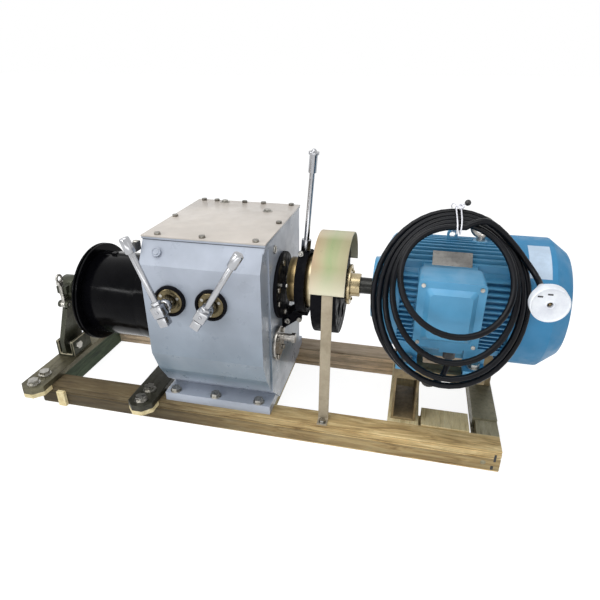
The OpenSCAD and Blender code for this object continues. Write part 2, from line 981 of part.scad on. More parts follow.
function flank_angle(r, pitch_r, teeth) =
  let (
    base_r = pitch_r * cos(pressure_angle),
    a = acos(min(1, base_r / max(r, base_r)))
  )
  tooth_share * 180 / teeth + (inv(pressure_angle) - inv(a)) * 180 / PI;

// Corners of one tooth, as radius and angle from its middle
function tooth(teeth, mod) =
  let (
    pitch_r = teeth * mod / 2,
    root_r = pitch_r - dedendum_share * mod,
    low_r = max(root_r, pitch_r * cos(pressure_angle)),
    flank = [for (r = [low_r, pitch_r, pitch_r + addendum_share * mod]) [r, flank_angle(r, pitch_r, teeth)]],
    side = root_r < low_r ? concat([[root_r, flank[0][1]]], flank) : flank,
    last = len(side) - 1
  )
  concat(
    [for (k = [0 : last]) [side[k][0], -side[k][1]]],
    [for (k = [last : -1 : 0]) side[k]]
  );

module gear(teeth, mod, phase) {
  linear_extrude(face_w)
    polygon([
      for (i = [0 : teeth - 1], p = tooth(teeth, mod))
        let (a = phase + i * 360 / teeth + p[1])
        p[0] * [cos(a), sin(a)]
    ]);
}

// Direction from one shaft to another, the module that their distance gives, and the meshing places
function bearing(p, q) = atan2(q[1] - p[1], q[0] - p[0]);

function mesh_module(p, q, teeth_1, teeth_2) = 2 * norm(q - p) / (teeth_1 + teeth_2);

function gap_phase(p, q, teeth) = bearing(q, p) + 180 / teeth;

module shaft_a_gear() {
  along_x(stage_1_x, line_a)
    gear(pinion_1_teeth, mesh_module(line_a, line_b, pinion_1_teeth, wheel_1_teeth), bearing(line_a, line_b));
}

module input_shaft() {
  web_hole_x = wheel_x + wheel_w - wheel_web;
  key_x0 = housing_x1 + input_flange_t + gap;
  neck_x = stage_1_x + face_w + 2 * over;
  color("silver") {
    rod_x(stage_1_x, neck_x + over, pinion_shaft_r, line_a);
    rod_x(neck_x, web_hole_x - gap, input_r, line_a);
    rod_x(web_hole_x - over, wheel_x + wheel_w + hub_len - 2 * gap, pilot_r, line_a);
    block([key_x0, axis_y - key_w / 2, shaft_z], [web_hole_x - gap, axis_y + key_w / 2,
      shaft_z + input_r + key_h]);
    shaft_a_gear();
  }
}

module second_shaft() {
  color("silver") {
    along_x(stage_1_x, line_b)
      gear(wheel_1_teeth, mesh_module(line_a, line_b, pinion_1_teeth, wheel_1_teeth),
        gap_phase(line_a, line_b, wheel_1_teeth));
    along_x(stage_2_x, line_b)
      gear(pinion_2_teeth, mesh_module(line_b, line_c, pinion_2_teeth, wheel_2_teeth),
        bearing(line_b, line_c));
    rod_x(web_x, housing_x1 - housing_wall / 2, second_r, line_b);
  }
}

module third_shaft() {
  color("silver") {
    along_x(stage_2_x, line_c)
      gear(wheel_2_teeth, mesh_module(line_b, line_c, pinion_2_teeth, wheel_2_teeth),
        gap_phase(line_b, line_c, wheel_2_teeth));
    along_x(stage_3_x, line_c)
      gear(pinion_3_teeth, mesh_module(line_c, line_d, pinion_3_teeth, wheel_3_teeth),
        bearing(line_c, line_d));
    rod_x(housing_x0 + housing_wall / 2, housing_x1 - gap, third_r, line_c);
    rod_x(housing_x1 - over, housing_x1 + input_flange_t, stub_shoulder_r, line_c);
    rod_x(housing_x1, housing_x1 + stub_out, stub_r, line_c);
    along_x(housing_x1 + stub_out - stub_r, line_c)
      cylinder(r = stub_shoulder_r + over, h = stub_r, $fn = 6);
  }
}

module drum_shaft() {
  color("silver") {
    rod_x(bearing_x - bearing_len / 2 - 4 * over, rim_x - 2 * drum_web_t, tail_r, line_d);
    rod_x(rim_x - 2 * drum_web_t - over, web_x + web_t, drum_shaft_r, line_d);
    along_x(stage_3_x, line_d)
      gear(wheel_3_teeth, mesh_module(line_c, line_d, pinion_3_teeth, wheel_3_teeth),
        gap_phase(line_c, line_d, wheel_3_teeth));
  }
}

// Gearbox housing: the body's outline in Y and Z, from the back foot round the top to the front foot
body_outline = concat(
  [[belly_y1, timber_h], [belly_y1, housing_top], [rim_top_y, housing_top], [belly_y0, shoulder_z]],
  [for (i = [0 : len(curve_in_shares) - 1])
    [belly_y0 + curve_in * curve_in_shares[i], waist_z - curve_h * curve_down_shares[i]]],
  [[belly_y0 + curve_in + flange_t, timber_h]]
);

// A rod that overruns both ends, for bores along the shaft lines
module bore_x(x0, x1, r, at) {
  rod_x(x0 - over, x1 + over, r, at);
}

module housing_slab(x0, x1, outline) {
  along_x(x0)
    linear_extrude(x1 - x0)
      polygon(outline);
}

// Screw places round the cover's edge, in X and Y
function rim_screws() =
  let (
    x0 = housing_x0 + screw_inset,
    x1 = housing_x1 - screw_inset,
    y0 = rim_top_y + screw_inset,
    y1 = belly_y1 - screw_inset
  )
  concat(
    [for (s = front_screw_shares) [x0 + s * (x1 - x0), y0]],
    [for (s = back_screw_shares) [x0 + s * (x1 - x0), y1]],
    [for (s = side_screw_shares) [x0, y0 + s * (y1 - y0)]],
    [for (s = side_screw_shares) [x1, y0 + s * (y1 - y0)]]
  );

module at_rim_screws(z) {
  for (p = rim_screws())
    translate([p[0], p[1], z])
      children();
}

module at_flange_screws(n, r, at, x) {
  for (i = [0 : n - 1])
    along_x(x, at)
      rotate(180 / n + i * 360 / n)
        translate([r, 0])
          children();
}

// Screws of the two covers on the right wall; the flange has none where the sleeve comes close
module at_input_flange_screws(x) {
  for (a = flange_screw_angles)
    along_x(x, input_flange_at)
      rotate(a)
        translate([flange_screw_r, 0])
          children();
}

module at_lower_cover_screws(x) {
  at_flange_screws(lower_screws_n, lower_screw_r, lower_cover_at, x) children();
}

module at_right_wall_screws(x) {
  at_input_flange_screws(x) children();
  at_lower_cover_screws(x) children();
}

module wall_screw_hole() {
  translate([0, 0, -screw_depth])
    cylinder(d = screw_d, h = screw_depth + over);
}

module slope_plug_place() {
  x = housing_x0 + slope_plug_share * housing_len;
  dz = housing_top - shoulder_z;
  translate([x, belly_y0 + slope_in / 2, housing_top - dz / 2])
    rotate([atan2(dz, slope_in), 0, 0])
      children();
}

// The band along the front of the right wall lies deeper than the raised face
module right_wall_step() {
  difference() {
    block([housing_x1 - step_depth, belly_y0 - over, flange_top],
      [housing_x1 + over, axis_y - step_front, housing_top - housing_wall]);
    rod_x(housing_x1 - step_depth - over, housing_x1 + 2 * over, step_r, lower_cover_at);
  }
}

module gearbox_housing() {
  cavity = inset(body_outline, housing_wall);
  color([0.55, 0.62, 0.68])
    difference() {
      union() {
        housing_slab(housing_x0, housing_x1, body_outline);
        block([housing_x0 - flange_shift, flange_front_y, timber_h],
          [housing_x1 - flange_shift, flange_back_y, flange_top]);
      }
      difference() {
        union() {
          housing_slab(housing_x0 + housing_wall, housing_x1 - housing_wall, cavity);
          block([housing_x0 + rim_w, rim_top_y + rim_w, housing_top - 2 * housing_wall],
            [housing_x1 - rim_w, belly_y1 - rim_w, housing_top + over]);
        }
        block([web_x, belly_y0, timber_h], [web_x + web_t, belly_y1, housing_top - 2 * housing_wall]);
      }
      // Bores for the four shaft lines
      bore_x(housing_x1 - housing_wall, housing_x1, input_r + fit, line_a);
      bore_x(housing_x1 - housing_wall, housing_x1 - housing_wall / 2 + gap - over, second_r + fit, line_b);
      bore_x(web_x, web_x + web_t, second_r + fit, line_b);
      bore_x(housing_x0 + housing_wall / 2 - gap + over, housing_x0 + housing_wall, third_r + fit, line_c);
      bore_x(web_x, web_x + web_t, third_r + housing_wall / 2, line_c);
      bore_x(housing_x1 - housing_wall, housing_x1, third_r + fit, line_c);
      bore_x(housing_x0, housing_x0 + housing_wall, drum_shaft_r + fit, line_d);
      bore_x(web_x, web_x + web_t, drum_shaft_r + fit, line_d);
      right_wall_step();
      // Shift shafts in the front wall
      for (x = shift_x)
        rod_y(belly_y0 - over, belly_y0 + housing_wall + over, shift_shaft_r + fit, x, shift_z);
      at_rim_screws(housing_top) wall_screw_hole();
      at_right_wall_screws(housing_x1 - housing_wall / 2)
        cylinder(d = screw_d, h = housing_wall);
      at_gearbox_feet() bolt_hole(foot_bolt_d, flange_t);
    }
}

module cover_gasket() {
  color("dimgray")
    difference() {
      block([housing_x0, rim_top_y, gasket_z], [housing_x1, belly_y1, cover_z]);
      block([housing_x0 + rim_w, rim_top_y + rim_w, gasket_z - over],
        [housing_x1 - rim_w, belly_y1 - rim_w, cover_z + over]);
      at_rim_screws(gasket_z)
        translate([0, 0, -over])
          cylinder(d = screw_d, h = gasket_t + 2 * over);
    }
}

module top_cover() {
  color([0.72, 0.7, 0.68])
    difference() {
      block([housing_x0 - cover_lip, rim_top_y - cover_lip, cover_z],
        [housing_x1 + cover_lip, belly_y1 + cover_lip, cover_top]);
      at_rim_screws(cover_z)
        translate([0, 0, -over])
          cylinder(d = screw_d, h = cover_t + 2 * over);
    }
}

module cap_screw(depth) {
  translate([0, 0, -depth])
    cylinder(d = screw_d, h = depth + screw_d / 4);
  cylinder(d = screw_d * 5 / 3, h = screw_d * 3 / 5);
}

module gearbox_screws() {
  color("gray") {
    at_rim_screws(cover_top) cap_screw(cover_t + gasket_t + screw_depth);
    at_right_wall_screws(housing_x1 + input_flange_t) cap_screw(input_flange_t + housing_wall / 2);
  }
}

module oil_plugs() {
  color("dimgray") {
    for (s = cover_plug_shares)
      translate([housing_x0 + s[0] * housing_len, rim_top_y + s[1] * cover_depth - screw_inset, cover_top])
        cylinder(r = plug_r, h = plug_h);
    slope_plug_place()
      cylinder(r = plug_r, h = plug_h);
    along_x(housing_x1, [side_plug_y, side_plug_z])
      cylinder(r = plug_r, h = plug_h);
    block([housing_x0 - post_t, rim_top_y, housing_top - post_w], [housing_x0, rim_top_y + post_w,
      housing_top]);
    along_y(housing_x0 - post_t / 2, rim_top_y - post_bolt_h, housing_top - post_w / 2)
      cylinder(r = post_bolt_r, h = post_bolt_h + over);
  }
}

module foot_bolts() {
  color("gray") {
    at_gearbox_feet() hex_bolt(foot_bolt_d, skid_bolt_depth + flange_t);
    at_motor_feet() hex_bolt(foot_bolt_d, foot_t + rail_t);
  }
}

// Shift collars and levers
module shift_collars() {
  color([0.25, 0.2, 0.17])
    for (x = shift_x)
      difference() {
        rod_y(belly_y0 - collar_plate_t, belly_y0, collar_plate_r, x, shift_z);
        rod_y(belly_y0 - 2 * collar_plate_t, belly_y0 + over, shift_shaft_r + fit, x, shift_z);
      }
}

module shift_lever(i) {
  hub_y = belly_y0 - collar_plate_t - gap;
  color("silver") {
    rod_y(hub_y - shift_hub_len, belly_y0 + housing_wall, shift_shaft_r, shift_x[i], shift_z);
    along_y(shift_x[i], hub_y - shift_hub_len, shift_z)
      rotate(shift_lean[i])
        translate([-shift_hub_w / 2, -shift_hub_w / 2, 0])
          cube([shift_hub_w, shift_hub_w, shift_hub_len]);
    along_y(shift_x[i], hub_y - shift_hub_len - shift_nut_h, shift_z)
      cylinder(r = shift_nut_r, h = shift_nut_h, $fn = 6);
    translate([shift_x[i], hub_y - shift_rod_out, shift_z])
      rotate([0, shift_lean[i], 0]) {
        cylinder(r = shift_rod_r, h = shift_len - over);
        translate([0, 0, shift_len - grip_len])
          cylinder(r = grip_r, h = grip_len);
      }
  }
}

module left_shift_lever() {
  shift_lever(0);
}

module right_shift_lever() {
  shift_lever(1);
}

// Covers on the right wall
module input_flange() {
  color(black)
    difference() {
      rod_x(housing_x1, housing_x1 + input_flange_t, input_flange_r, input_flange_at);
      rod_x(housing_x1 - over, housing_x1 + 2 * input_flange_t, input_r + fit, line_a);
      at_input_flange_screws(housing_x1 - over)
        cylinder(d = screw_d, h = input_flange_t + 2 * over);
    }
}

module lower_cover() {
  color("silver")
    difference() {
      rod_x(housing_x1, housing_x1 + input_flange_t, lower_cover_r, lower_cover_at);
      rod_x(housing_x1 - over, housing_x1 + 2 * input_flange_t, stub_shoulder_r + fit, line_c);
      at_lower_cover_screws(housing_x1 - over)
        cylinder(d = screw_d, h = input_flange_t + 2 * over);
    }
}

// Clutch: a fork on a cross pin shifts the sleeve, which carries the friction disc to the wheel
module fork_bracket() {
  half = bracket_w / 2;
  z0 = pivot_z - bracket_h - bracket_base_t / 2;
  color("dimgray") {
    difference() {
      union() {
        block([housing_x1, axis_y - half, z0], [housing_x1 + bracket_base_t, axis_y + half, z0 + bracket_h]);
        for (y = [axis_y - half, axis_y + half - bracket_cheek])
          translate([0, y + bracket_cheek, 0])
            rotate([90, 0, 0])
              linear_extrude(bracket_cheek)
                polygon([
                  [housing_x1, z0],
                  [pivot_x, pivot_z - boss_r],
                  [pivot_x + boss_r, pivot_z - boss_r],
                  [pivot_x + boss_r, pivot_z + boss_r],
                  [pivot_x - boss_r, pivot_z + boss_r],
                  [housing_x1 + input_flange_t + gap, z0 + bracket_h],
                  [housing_x1, z0 + bracket_h]
                ]);
      }
      rod_y(axis_y - bracket_w, axis_y + bracket_w, pivot_r, pivot_x, pivot_z);
    }
    rod_y(axis_y - half - 2 * over, axis_y + half + 2 * over, pivot_r, pivot_x, pivot_z);
  }
}

module clutch_fork() {
  boss_half = bracket_w / 2 - bracket_cheek - gap;
  color(black)
    difference() {
      union() {
        difference() {
          rod_x(fork_x, fork_x + fork_w, band_r, line_a);
          rod_x(fork_x - over, fork_x + fork_w + over, band_in_r, line_a);
        }
        rod_y(axis_y - boss_half, axis_y + boss_half, boss_r, pivot_x, pivot_z);
        block([pivot_x, axis_y - boss_half, pivot_z], [fork_x + fork_w - over, axis_y + boss_half,
          shaft_z - (band_r + band_in_r) / 2]);
        for (side = [-1, 1])
          rod_y(axis_y + (side < 0 ? -band_r + over : sleeve_r - groove_depth + pad_gap),
            axis_y + (side < 0 ? -sleeve_r + groove_depth - pad_gap : band_r - over), pad_r,
            fork_x + fork_w / 2, shaft_z);
      }
      rod_y(axis_y - bracket_w, axis_y + bracket_w, pivot_r + fit, pivot_x, pivot_z);
    }
}

// The lever stands on the band, leaning a little toward the motor
module clutch_lever() {
  color("silver")
    translate([fork_x + fork_w / 2, axis_y, shaft_z + band_r])
      rotate([0, lever_lean, 0])
        translate([0, 0, lever_seat]) {
          cylinder(r = lever_r, h = lever_len);
          cylinder(r = lever_clamp_r, h = lever_clamp_h);
          translate([0, 0, lever_len - lever_grip_len])
            cylinder(r = lever_grip_r, h = lever_grip_len);
          translate([0, 0, lever_len])
            cylinder(r = lever_rim_r, h = lever_rim_h);
          translate([0, 0, lever_len + lever_rim_h])
            sphere(r = lever_r);
        }
}

module sliding_sleeve() {
  bore = input_r + fit;
  disc_r = wheel_r - wheel_rim - disc_r_gap;
  groove_0 = fork_x + fork_w / 2 - pad_r - pad_gap;
  groove_1 = fork_x + fork_w / 2 + pad_r + pad_gap;
  disc_x = wheel_x + wheel_w - wheel_web - gap;
  color([0.78, 0.66, 0.35])
    difference() {
      along_x(0, line_a)
        rotate_extrude()
          polygon([
            [bore, sleeve_x0], [sleeve_r, sleeve_x0], [sleeve_r, groove_0],
            [sleeve_r - groove_depth, groove_0], [sleeve_r - groove_depth, groove_1],
            [sleeve_r, groove_1], [sleeve_r, collar_x], [collar_r, collar_x],
            [collar_r, collar_x + collar_w], [neck_r, collar_x + collar_w],
            [neck_r, disc_x - disc_w], [disc_r, disc_x - disc_w], [disc_r, disc_x], [bore, disc_x]
          ]);
      block([sleeve_x0 - over, axis_y - key_w / 2 - fit, shaft_z],
        [disc_x + over, axis_y + key_w / 2 + fit, shaft_z + input_r + key_h + gap]);
    }
}

module clutch_wheel() {
  x1 = wheel_x + wheel_w;
  color(black)
    difference() {
      rod_x(wheel_x, x1 + hub_len, wheel_r, line_a);
      rod_x(wheel_x - over, x1 - wheel_web, wheel_r - wheel_rim, line_a);
      rod_x(x1 - wheel_web - over, x1 + hub_len + over, pilot_r + fit, line_a);
      difference() {
        rod_x(x1, x1 + hub_len + over, wheel_r + over, line_a);
        rod_x(x1 - over, x1 + hub_len + 2 * over, wheel_hub_r, line_a);
      }
      at_flange_screws(spoke_holes, (wheel_r - wheel_rim + wheel_hub_r) / 2, line_a, x1 - wheel_web - over)
        cylinder(r = spoke_hole_r, h = wheel_web + 2 * over);
    }
}

module coupling() {
  color("silver")
    difference() {
      union() {
        rod_x(coupling_x, coupling_x + coupling_flange_w, coupling_flange_r, line_a);
        rod_x(coupling_x, coupling_end, coupling_hub_r, line_a);
        at_flange_screws(coupling_bolts, (coupling_flange_r + coupling_hub_r) / 2, line_a,
          coupling_x + coupling_flange_w - over)
          cylinder(d = coupling_bolt_d, h = coupling_bolt_d / 2, $fn = 6);
      }
      rod_x(coupling_x - over, coupling_end + over, motor_shaft_r, line_a);
    }
}

// Point of the guard's arch at an angle from its top, toward the front
function guard_point(a, r) = [axis_y - r * sin(a), shaft_z + r * cos(a)];

module wheel_guard() {
  steps = 3;
  far = 2 * guard_r;
  color([0.78, 0.72, 0.52])
    intersection() {
      difference() {
        rod_x(guard_x, guard_x + guard_w, guard_r, line_a);
        rod_x(guard_x - over, guard_x + guard_w + over, guard_r - guard_t, line_a);
      }
      along_x(guard_x - over)
        linear_extrude(guard_w + 2 * over)
          polygon(concat(
            [[axis_y, shaft_z]],
            [for (i = [-steps : steps]) guard_point(-i * guard_angle / steps, far)]
          ));
    }
}

leg_bolt_inset = 13.5;
leg_bolt_d = 8;

module leg_bolt_place() {
  translate([leg_x + leg_w / 2, leg_foot_y - leg_bolt_inset, timber_h + leg_t])
    children();
}

// The leg is a strip that hugs the guard's front edge and ends in a foot on the rail
module guard_leg() {
  inner = [for (i = [hug_steps : -1 : 0]) guard_point(guard_angle - i * hug_step, guard_r + gap)];
  outer = [for (i = [0 : hug_steps]) guard_point(guard_angle - i * hug_step, guard_r + gap + leg_t)];
  foot_z = timber_h;
  lap_z = foot_z + leg_lap;
  color([0.7, 0.65, 0.5])
    difference() {
      along_x(leg_x)
        linear_extrude(leg_w)
          polygon(concat(
            inner,
            [[leg_foot_y + leg_t, foot_z], [leg_foot_y - leg_foot_len, foot_z],
              [leg_foot_y - leg_foot_len, foot_z + leg_t], [leg_foot_y - leg_t, foot_z + leg_t],
              [leg_foot_y - leg_t, lap_z], [leg_foot_y, lap_z]],
            outer
          ));
      leg_bolt_place() bolt_hole(leg_bolt_d, leg_t);
    }
}

// Motor stand
module motor_pedestal() {
  color([0.35, 0.33, 0.25]) {
    for (x = [pedestal_x0, pedestal_x0 + pedestal_w - side_plate_t])
      block([x, axis_y + shaft_front - pedestal_front, timber_h],
        [x + side_plate_t, pedestal_back, stand_top - rail_t - tie_plate_t]);
    block([pedestal_x0, -pedestal_front, timber_h], [pedestal_x0 + pedestal_w, 0, timber_h + side_plate_t]);
  }
}

module motor_rails() {
  z1 = stand_top;
  z0 = stand_top - rail_t;
  front = axis_y - foot_gauge / 2;
  back = axis_y + foot_gauge / 2;
  half = rail_w / 2;
  color([0.35, 0.33, 0.25])
    difference() {
      union() {
        block([rails_x0, front - half, z0], [rails_x0 + front_rail_len, front + half, z1]);
        block([rails_x0, back - half, z0], [rails_x0 + back_rail_len, back + half, z1]);
        block([rails_x0, front - half, z0 - tie_plate_t],
          [rails_x0 + pedestal_w + side_plate_t, back + half, z0]);
        block([cross_x, front, z0], [cross_x + cross_w, back, z1]);
        block([rails_x0 + back_rail_len - stand_post_w, back - half, timber_h + channel_t],
          [rails_x0 + back_rail_len, back + half, z0]);
      }
      at_motor_feet() bolt_hole(foot_bolt_d, foot_t + rail_t + tie_plate_t);
    }
}

// Motor
module fin_outline() {
  intersection() {
    circle(r = fin_r);
    union() {
      circle(r = frame_r);
      for (i = [-fin_rows : fin_rows]) {
        translate([-fin_r, i * fin_pitch - fin_t / 2])
          square([2 * fin_r, fin_t]);
        translate([i * fin_pitch - fin_t / 2, -fin_r])
          square([fin_t, 2 * fin_r]);
      }
    }
  }
}

module motor_foot(side) {
  y = axis_y + side * foot_gauge / 2;
  half = foot_w / 2;
  for (x = [foot_x0, foot_x0 + foot_base])
    along_x(x - foot_pad / 2)
      linear_extrude(foot_pad)
        polygon([
          [y + side * half, stand_top],
          [y + side * half, stand_top + foot_t],
          [y - side * half * foot_web_share, stand_top + foot_t],
          [axis_y + side * frame_r * foot_side_shares[0], shaft_z - frame_r * foot_side_shares[1]],
          [axis_y + side * frame_r * foot_under_shares[0], shaft_z - frame_r * foot_under_shares[1]],
          [y - side * half, stand_top]
        ]);
}

lug_z = shaft_z + fin_r + lug_up;

module lug(x, y) {
  rod_y(y - lug_t / 2, y + lug_t / 2, lug_r, x, lug_z);
  block([x - lug_r, y - lug_t / 2, shaft_z + frame_r / 2], [x + lug_r, y + lug_t / 2, lug_z]);
}

module motor_frame() {
  color(blue)
    difference() {
      union() {
        along_x(frame_x0, line_a)
          linear_extrude(frame_len)
            fin_outline();
        motor_foot(-1);
        motor_foot(1);
        block([box_x0 + box_corner, box_y1, box_z0 + box_corner],
          [box_x0 + box_w - box_corner, axis_y - frame_r / 2, box_z0 + box_h - box_corner]);
        lug(lug_x, axis_y);
        lug(rear_lug_x, axis_y + rear_lug_back);
        translate([eye_x, axis_y, shaft_z + frame_r / 2])
          cylinder(r = eye_neck_r + 2 * fin_t, h = fin_r - frame_r / 2);
      }
      rod_x(frame_x0 - over, frame_x1 + over, stator_r, line_a);
      block([box_x0 - fin_t, axis_y - fin_r - over, box_z0 - fin_t],
        [box_x0 + box_w + fin_t, box_y1, box_z0 + box_h + fin_t]);
      rod_y(axis_y - lug_w, axis_y + lug_w, lug_hole_r, lug_x, lug_z);
      at_motor_feet() bolt_hole(foot_bolt_d, foot_t);
    }
}

module drive_endshield() {
  x1 = motor_x + shield_len;
  color(blue)
    along_x(0, line_a)
      rotate_extrude()
        polygon([
          [motor_shaft_r + fit, motor_x], [shield_face_r, motor_x],
          [shield_face_r, motor_x + shield_rim / 2],
          [fin_r - shield_rim / 2, x1 - shield_rim * shield_slope_shares[0]],
          [fin_r - over, x1 - shield_rim * shield_slope_shares[1]],
          [fin_r - over, x1],
          [stator_r - shield_rim, x1],
          [shield_face_r / 2, motor_x + shield_rim * shield_back_share],
          [motor_shaft_r + fit, motor_x + shield_rim * shield_back_share]
        ]);
}

// The shield's four pads carry the cowl
module rear_endshield() {
  pad_r = cowl_r - cowl_t - gap;
  color(blue)
    difference() {
      union() {
        rod_x(frame_x1, frame_x1 + rear_shield_w, frame_r, line_a);
        intersection() {
          rod_x(frame_x1 + cowl_gap, frame_x1 + rear_shield_w, pad_r, line_a);
          along_x(frame_x1, line_a)
            for (a = [45, 135])
              rotate(a)
                translate([-cowl_r, -cowl_pad_w / 2, 0])
                  cube([2 * cowl_r, cowl_pad_w, rear_shield_w]);
        }
      }
      rod_x(frame_x1 - over, frame_x1 + rear_shield_w + over, motor_shaft_r + fit, line_a);
    }
}

module stator_core() {
  color("slategray")
    difference() {
      rod_x(stator_x0, stator_x0 + stator_len, stator_r - fit, line_a);
      rod_x(stator_x0 - over, stator_x0 + stator_len + over, air_r + gap, line_a);
    }
}

module rotor() {
  color("silver") {
    rod_x(coupling_x, frame_x1 + rear_shield_w + over, motor_shaft_r, line_a);
    rod_x(frame_x1 + rear_shield_w, fan_x0 + fan_w, rear_shaft_r, line_a);
    rod_x(stator_x0, stator_x0 + stator_len, air_r, line_a);
  }
}

module cooling_fan() {
  color("black")
    difference() {
      union() {
        rod_x(fan_x0, fan_x0 + fan_w, fan_hub_r, line_a);
        rod_x(fan_x0, fan_x0 + blade_t, fan_r, line_a);
        for (i = [0 : fan_blades - 1])
          along_x(fan_x0, line_a)
            rotate(i * 360 / fan_blades)
              translate([fan_hub_r - over, -blade_t / 2, 0])
                cube([fan_r - fan_hub_r - blade_t, blade_t, fan_w]);
      }
      rod_x(fan_x0 - over, fan_x0 + fan_w + over, rear_shaft_r, line_a);
    }
}

// The cowl is a drawn shell whose end wall has rings of air holes
module fan_cowl() {
  x1 = cowl_x0 + cowl_len;
  cone_x = x1 - cowl_cone;
  color(blue)
    difference() {
      along_x(0, line_a)
        rotate_extrude()
          polygon([
            [cowl_r - cowl_t, cowl_x0 + cowl_gap], [cowl_r, cowl_x0 + cowl_gap], [cowl_r, cone_x],
            [cowl_end_r, x1], [0, x1], [0, x1 - cowl_t], [cowl_end_r - cowl_t, x1 - cowl_t],
            [cowl_r - cowl_t, cone_x - cowl_t / 2]
          ]);
      for (ring = [0 : len(grille_holes) - 1])
        at_flange_screws(grille_holes[ring], (ring + 1) * grille_step, line_a, x1 - 2 * cowl_t)
          cylinder(r = grille_r, h = 3 * cowl_t);
    }
}

// Terminal box, open at the front
module rounded_plate(w, h, r) {
  translate([r, 0])
    square([w - 2 * r, h]);
  translate([0, r])
    square([w, h - 2 * r]);
  for (x = [r, w - r], y = [r, h - r])
    translate([x, y])
      circle(r = r);
}

module box_slab(y0, y1, grow) {
  translate([box_x0 - grow, y1, box_z0 - grow])
    rotate([90, 0, 0])
      linear_extrude(y1 - y0)
        rounded_plate(box_w + 2 * grow, box_h + 2 * grow, box_corner);
}

module at_lid_screws(y) {
  for (x = [box_x0 + lid_screw_inset, box_x0 + box_w - lid_screw_inset],
    z = [box_z0 + lid_screw_inset, box_z0 + box_h - lid_screw_inset])
    along_y(x, y, z)
      children();
}

module terminal_box() {
  color(blue)
    difference() {
      union() {
        box_slab(box_y0, box_y1, 0);
        block([gland_x - gland_boss_w / 2, gland_y - gland_boss_d / 2, gland_z],
          [gland_x + gland_boss_w / 2, gland_y + gland_boss_d / 2, box_z0 + box_wall / 2]);
      }
      difference() {
        box_slab(box_y0 - over, box_y1 - box_wall, -box_wall);
        at_lid_screws(box_y0)
          cylinder(r = lid_screw_inset, h = box_d);
      }
      at_lid_screws(box_y0 - over)
        cylinder(d = screw_d / 2, h = 2 * screw_d);
      translate([gland_x, gland_y, gland_z - over])
        cylinder(r = cable_r, h = gland_boss_h + box_wall + 2 * over);
    }
}

module terminal_lid() {
  color(blue)
    difference() {
      union() {
        box_slab(box_y0 - lid_t, box_y0, 0);
        hull() {
          box_slab(box_y0 - lid_t, box_y0 - lid_t + over, -lid_rim);
          box_slab(box_y0 - lid_t - lid_raise, box_y0 - lid_t, -lid_rim - lid_raise);
        }
      }
      at_lid_screws(box_y0 - lid_t - over)
        cylinder(d = screw_d / 2, h = lid_t + 2 * over);
    }
}

module lid_screws() {
  color("gray")
    at_lid_screws(box_y0 - lid_t) {
      translate([0, 0, -screw_d / 6])
        cylinder(d = screw_d / 2, h = lid_t + screw_d);
      translate([0, 0, -screw_d / 3])
        cylinder(d = screw_d, h = screw_d / 3);
    }
}

module cable_gland() {
  color([0.12, 0.12, 0.13])
    difference() {
      union() {
        translate([gland_x, gland_y, gland_z - gland_hex_h])
          cylinder(r = gland_hex_r, h = gland_hex_h, $fn = 6);
        translate([gland_x, gland_y, gland_end])
          cylinder(r = gland_dome_r, h = gland_dome_h);
      }
      translate([gland_x, gland_y, gland_end + cable_d])
        cylinder(r = cable_r, h = gland_hex_h + gland_dome_h);
    }
}

module lifting_eye() {
  z0 = shaft_z + fin_r;
  color("silver") {
    translate([eye_x, axis_y, z0])
      cylinder(r = eye_neck_r, h = eye_neck_h);
    translate([eye_x, axis_y, z0 + eye_neck_h + eye_ring_r])
      rotate([90, 0, 0])
        rotate_extrude()
          translate([eye_ring_r, 0])
            circle(r = eye_wire_r);
  }
}

// Cable: point of the coil at t loops, counted from the bottom toward the drum side
function share_of(range, u) = range[0] + (range[1] - range[0]) * u;

function coil_point(t) =
  let (
    u = t / coil_turns,
    a = -360 * (t + 1 / 4),
    half_w = share_of(coil_half_w, u),
    half_h = share_of(coil_half_h, u * u),
    up = share_of(coil_top, u) - half_h + half_h * sin(a),
    bulge = coil_bulge * pow(max(0, u * bulge_shares[0] - bulge_shares[1]), 3 / 2) * (1 - sin(a)) / 2,
    out = coil_stand + coil_pitch * t + bulge
  )
  [coil_x + half_w * cos(a), axis_y, shaft_z] + up * coil_up + out * coil_out;

coil_steps = round((coil_turns - coil_start) * coil_rings);
coil_points = [for (i = [0 : coil_steps])
  coil_point(coil_start + (coil_turns - coil_start) * i / coil_steps)];

// Smooth route through hand-set points
function spline(p, i, t) =
  let (
    a = p[max(i - 1, 0)],
    b = p[i],
    c = p[i + 1],
    d = p[min(i + 2, len(p) - 1)]
  )
  0.5 * (2 * b + (c - a) * t + (2 * a - 5 * b + 4 * c - d) * t * t + (3 * b - a - 3 * c + d) * t * t * t);

// The first and last stretches stay straight, and the rest is smoothed
function route(p, steps) =
  let (
    mid = [for (i = [1 : len(p) - 2]) p[i]]
  )
  concat(
    [p[0]],
    [for (i = [0 : len(mid) - 2], s = [0 : steps - 1]) spline(mid, i, s / steps)],
    [mid[len(mid) - 1], p[len(p) - 1]]
  );

function along(p, i) =
  let (
    a = p[max(i - 1, 0)],
    c = p[min(i + 1, len(p) - 1)]
  )
  (c - a) / norm(c - a);

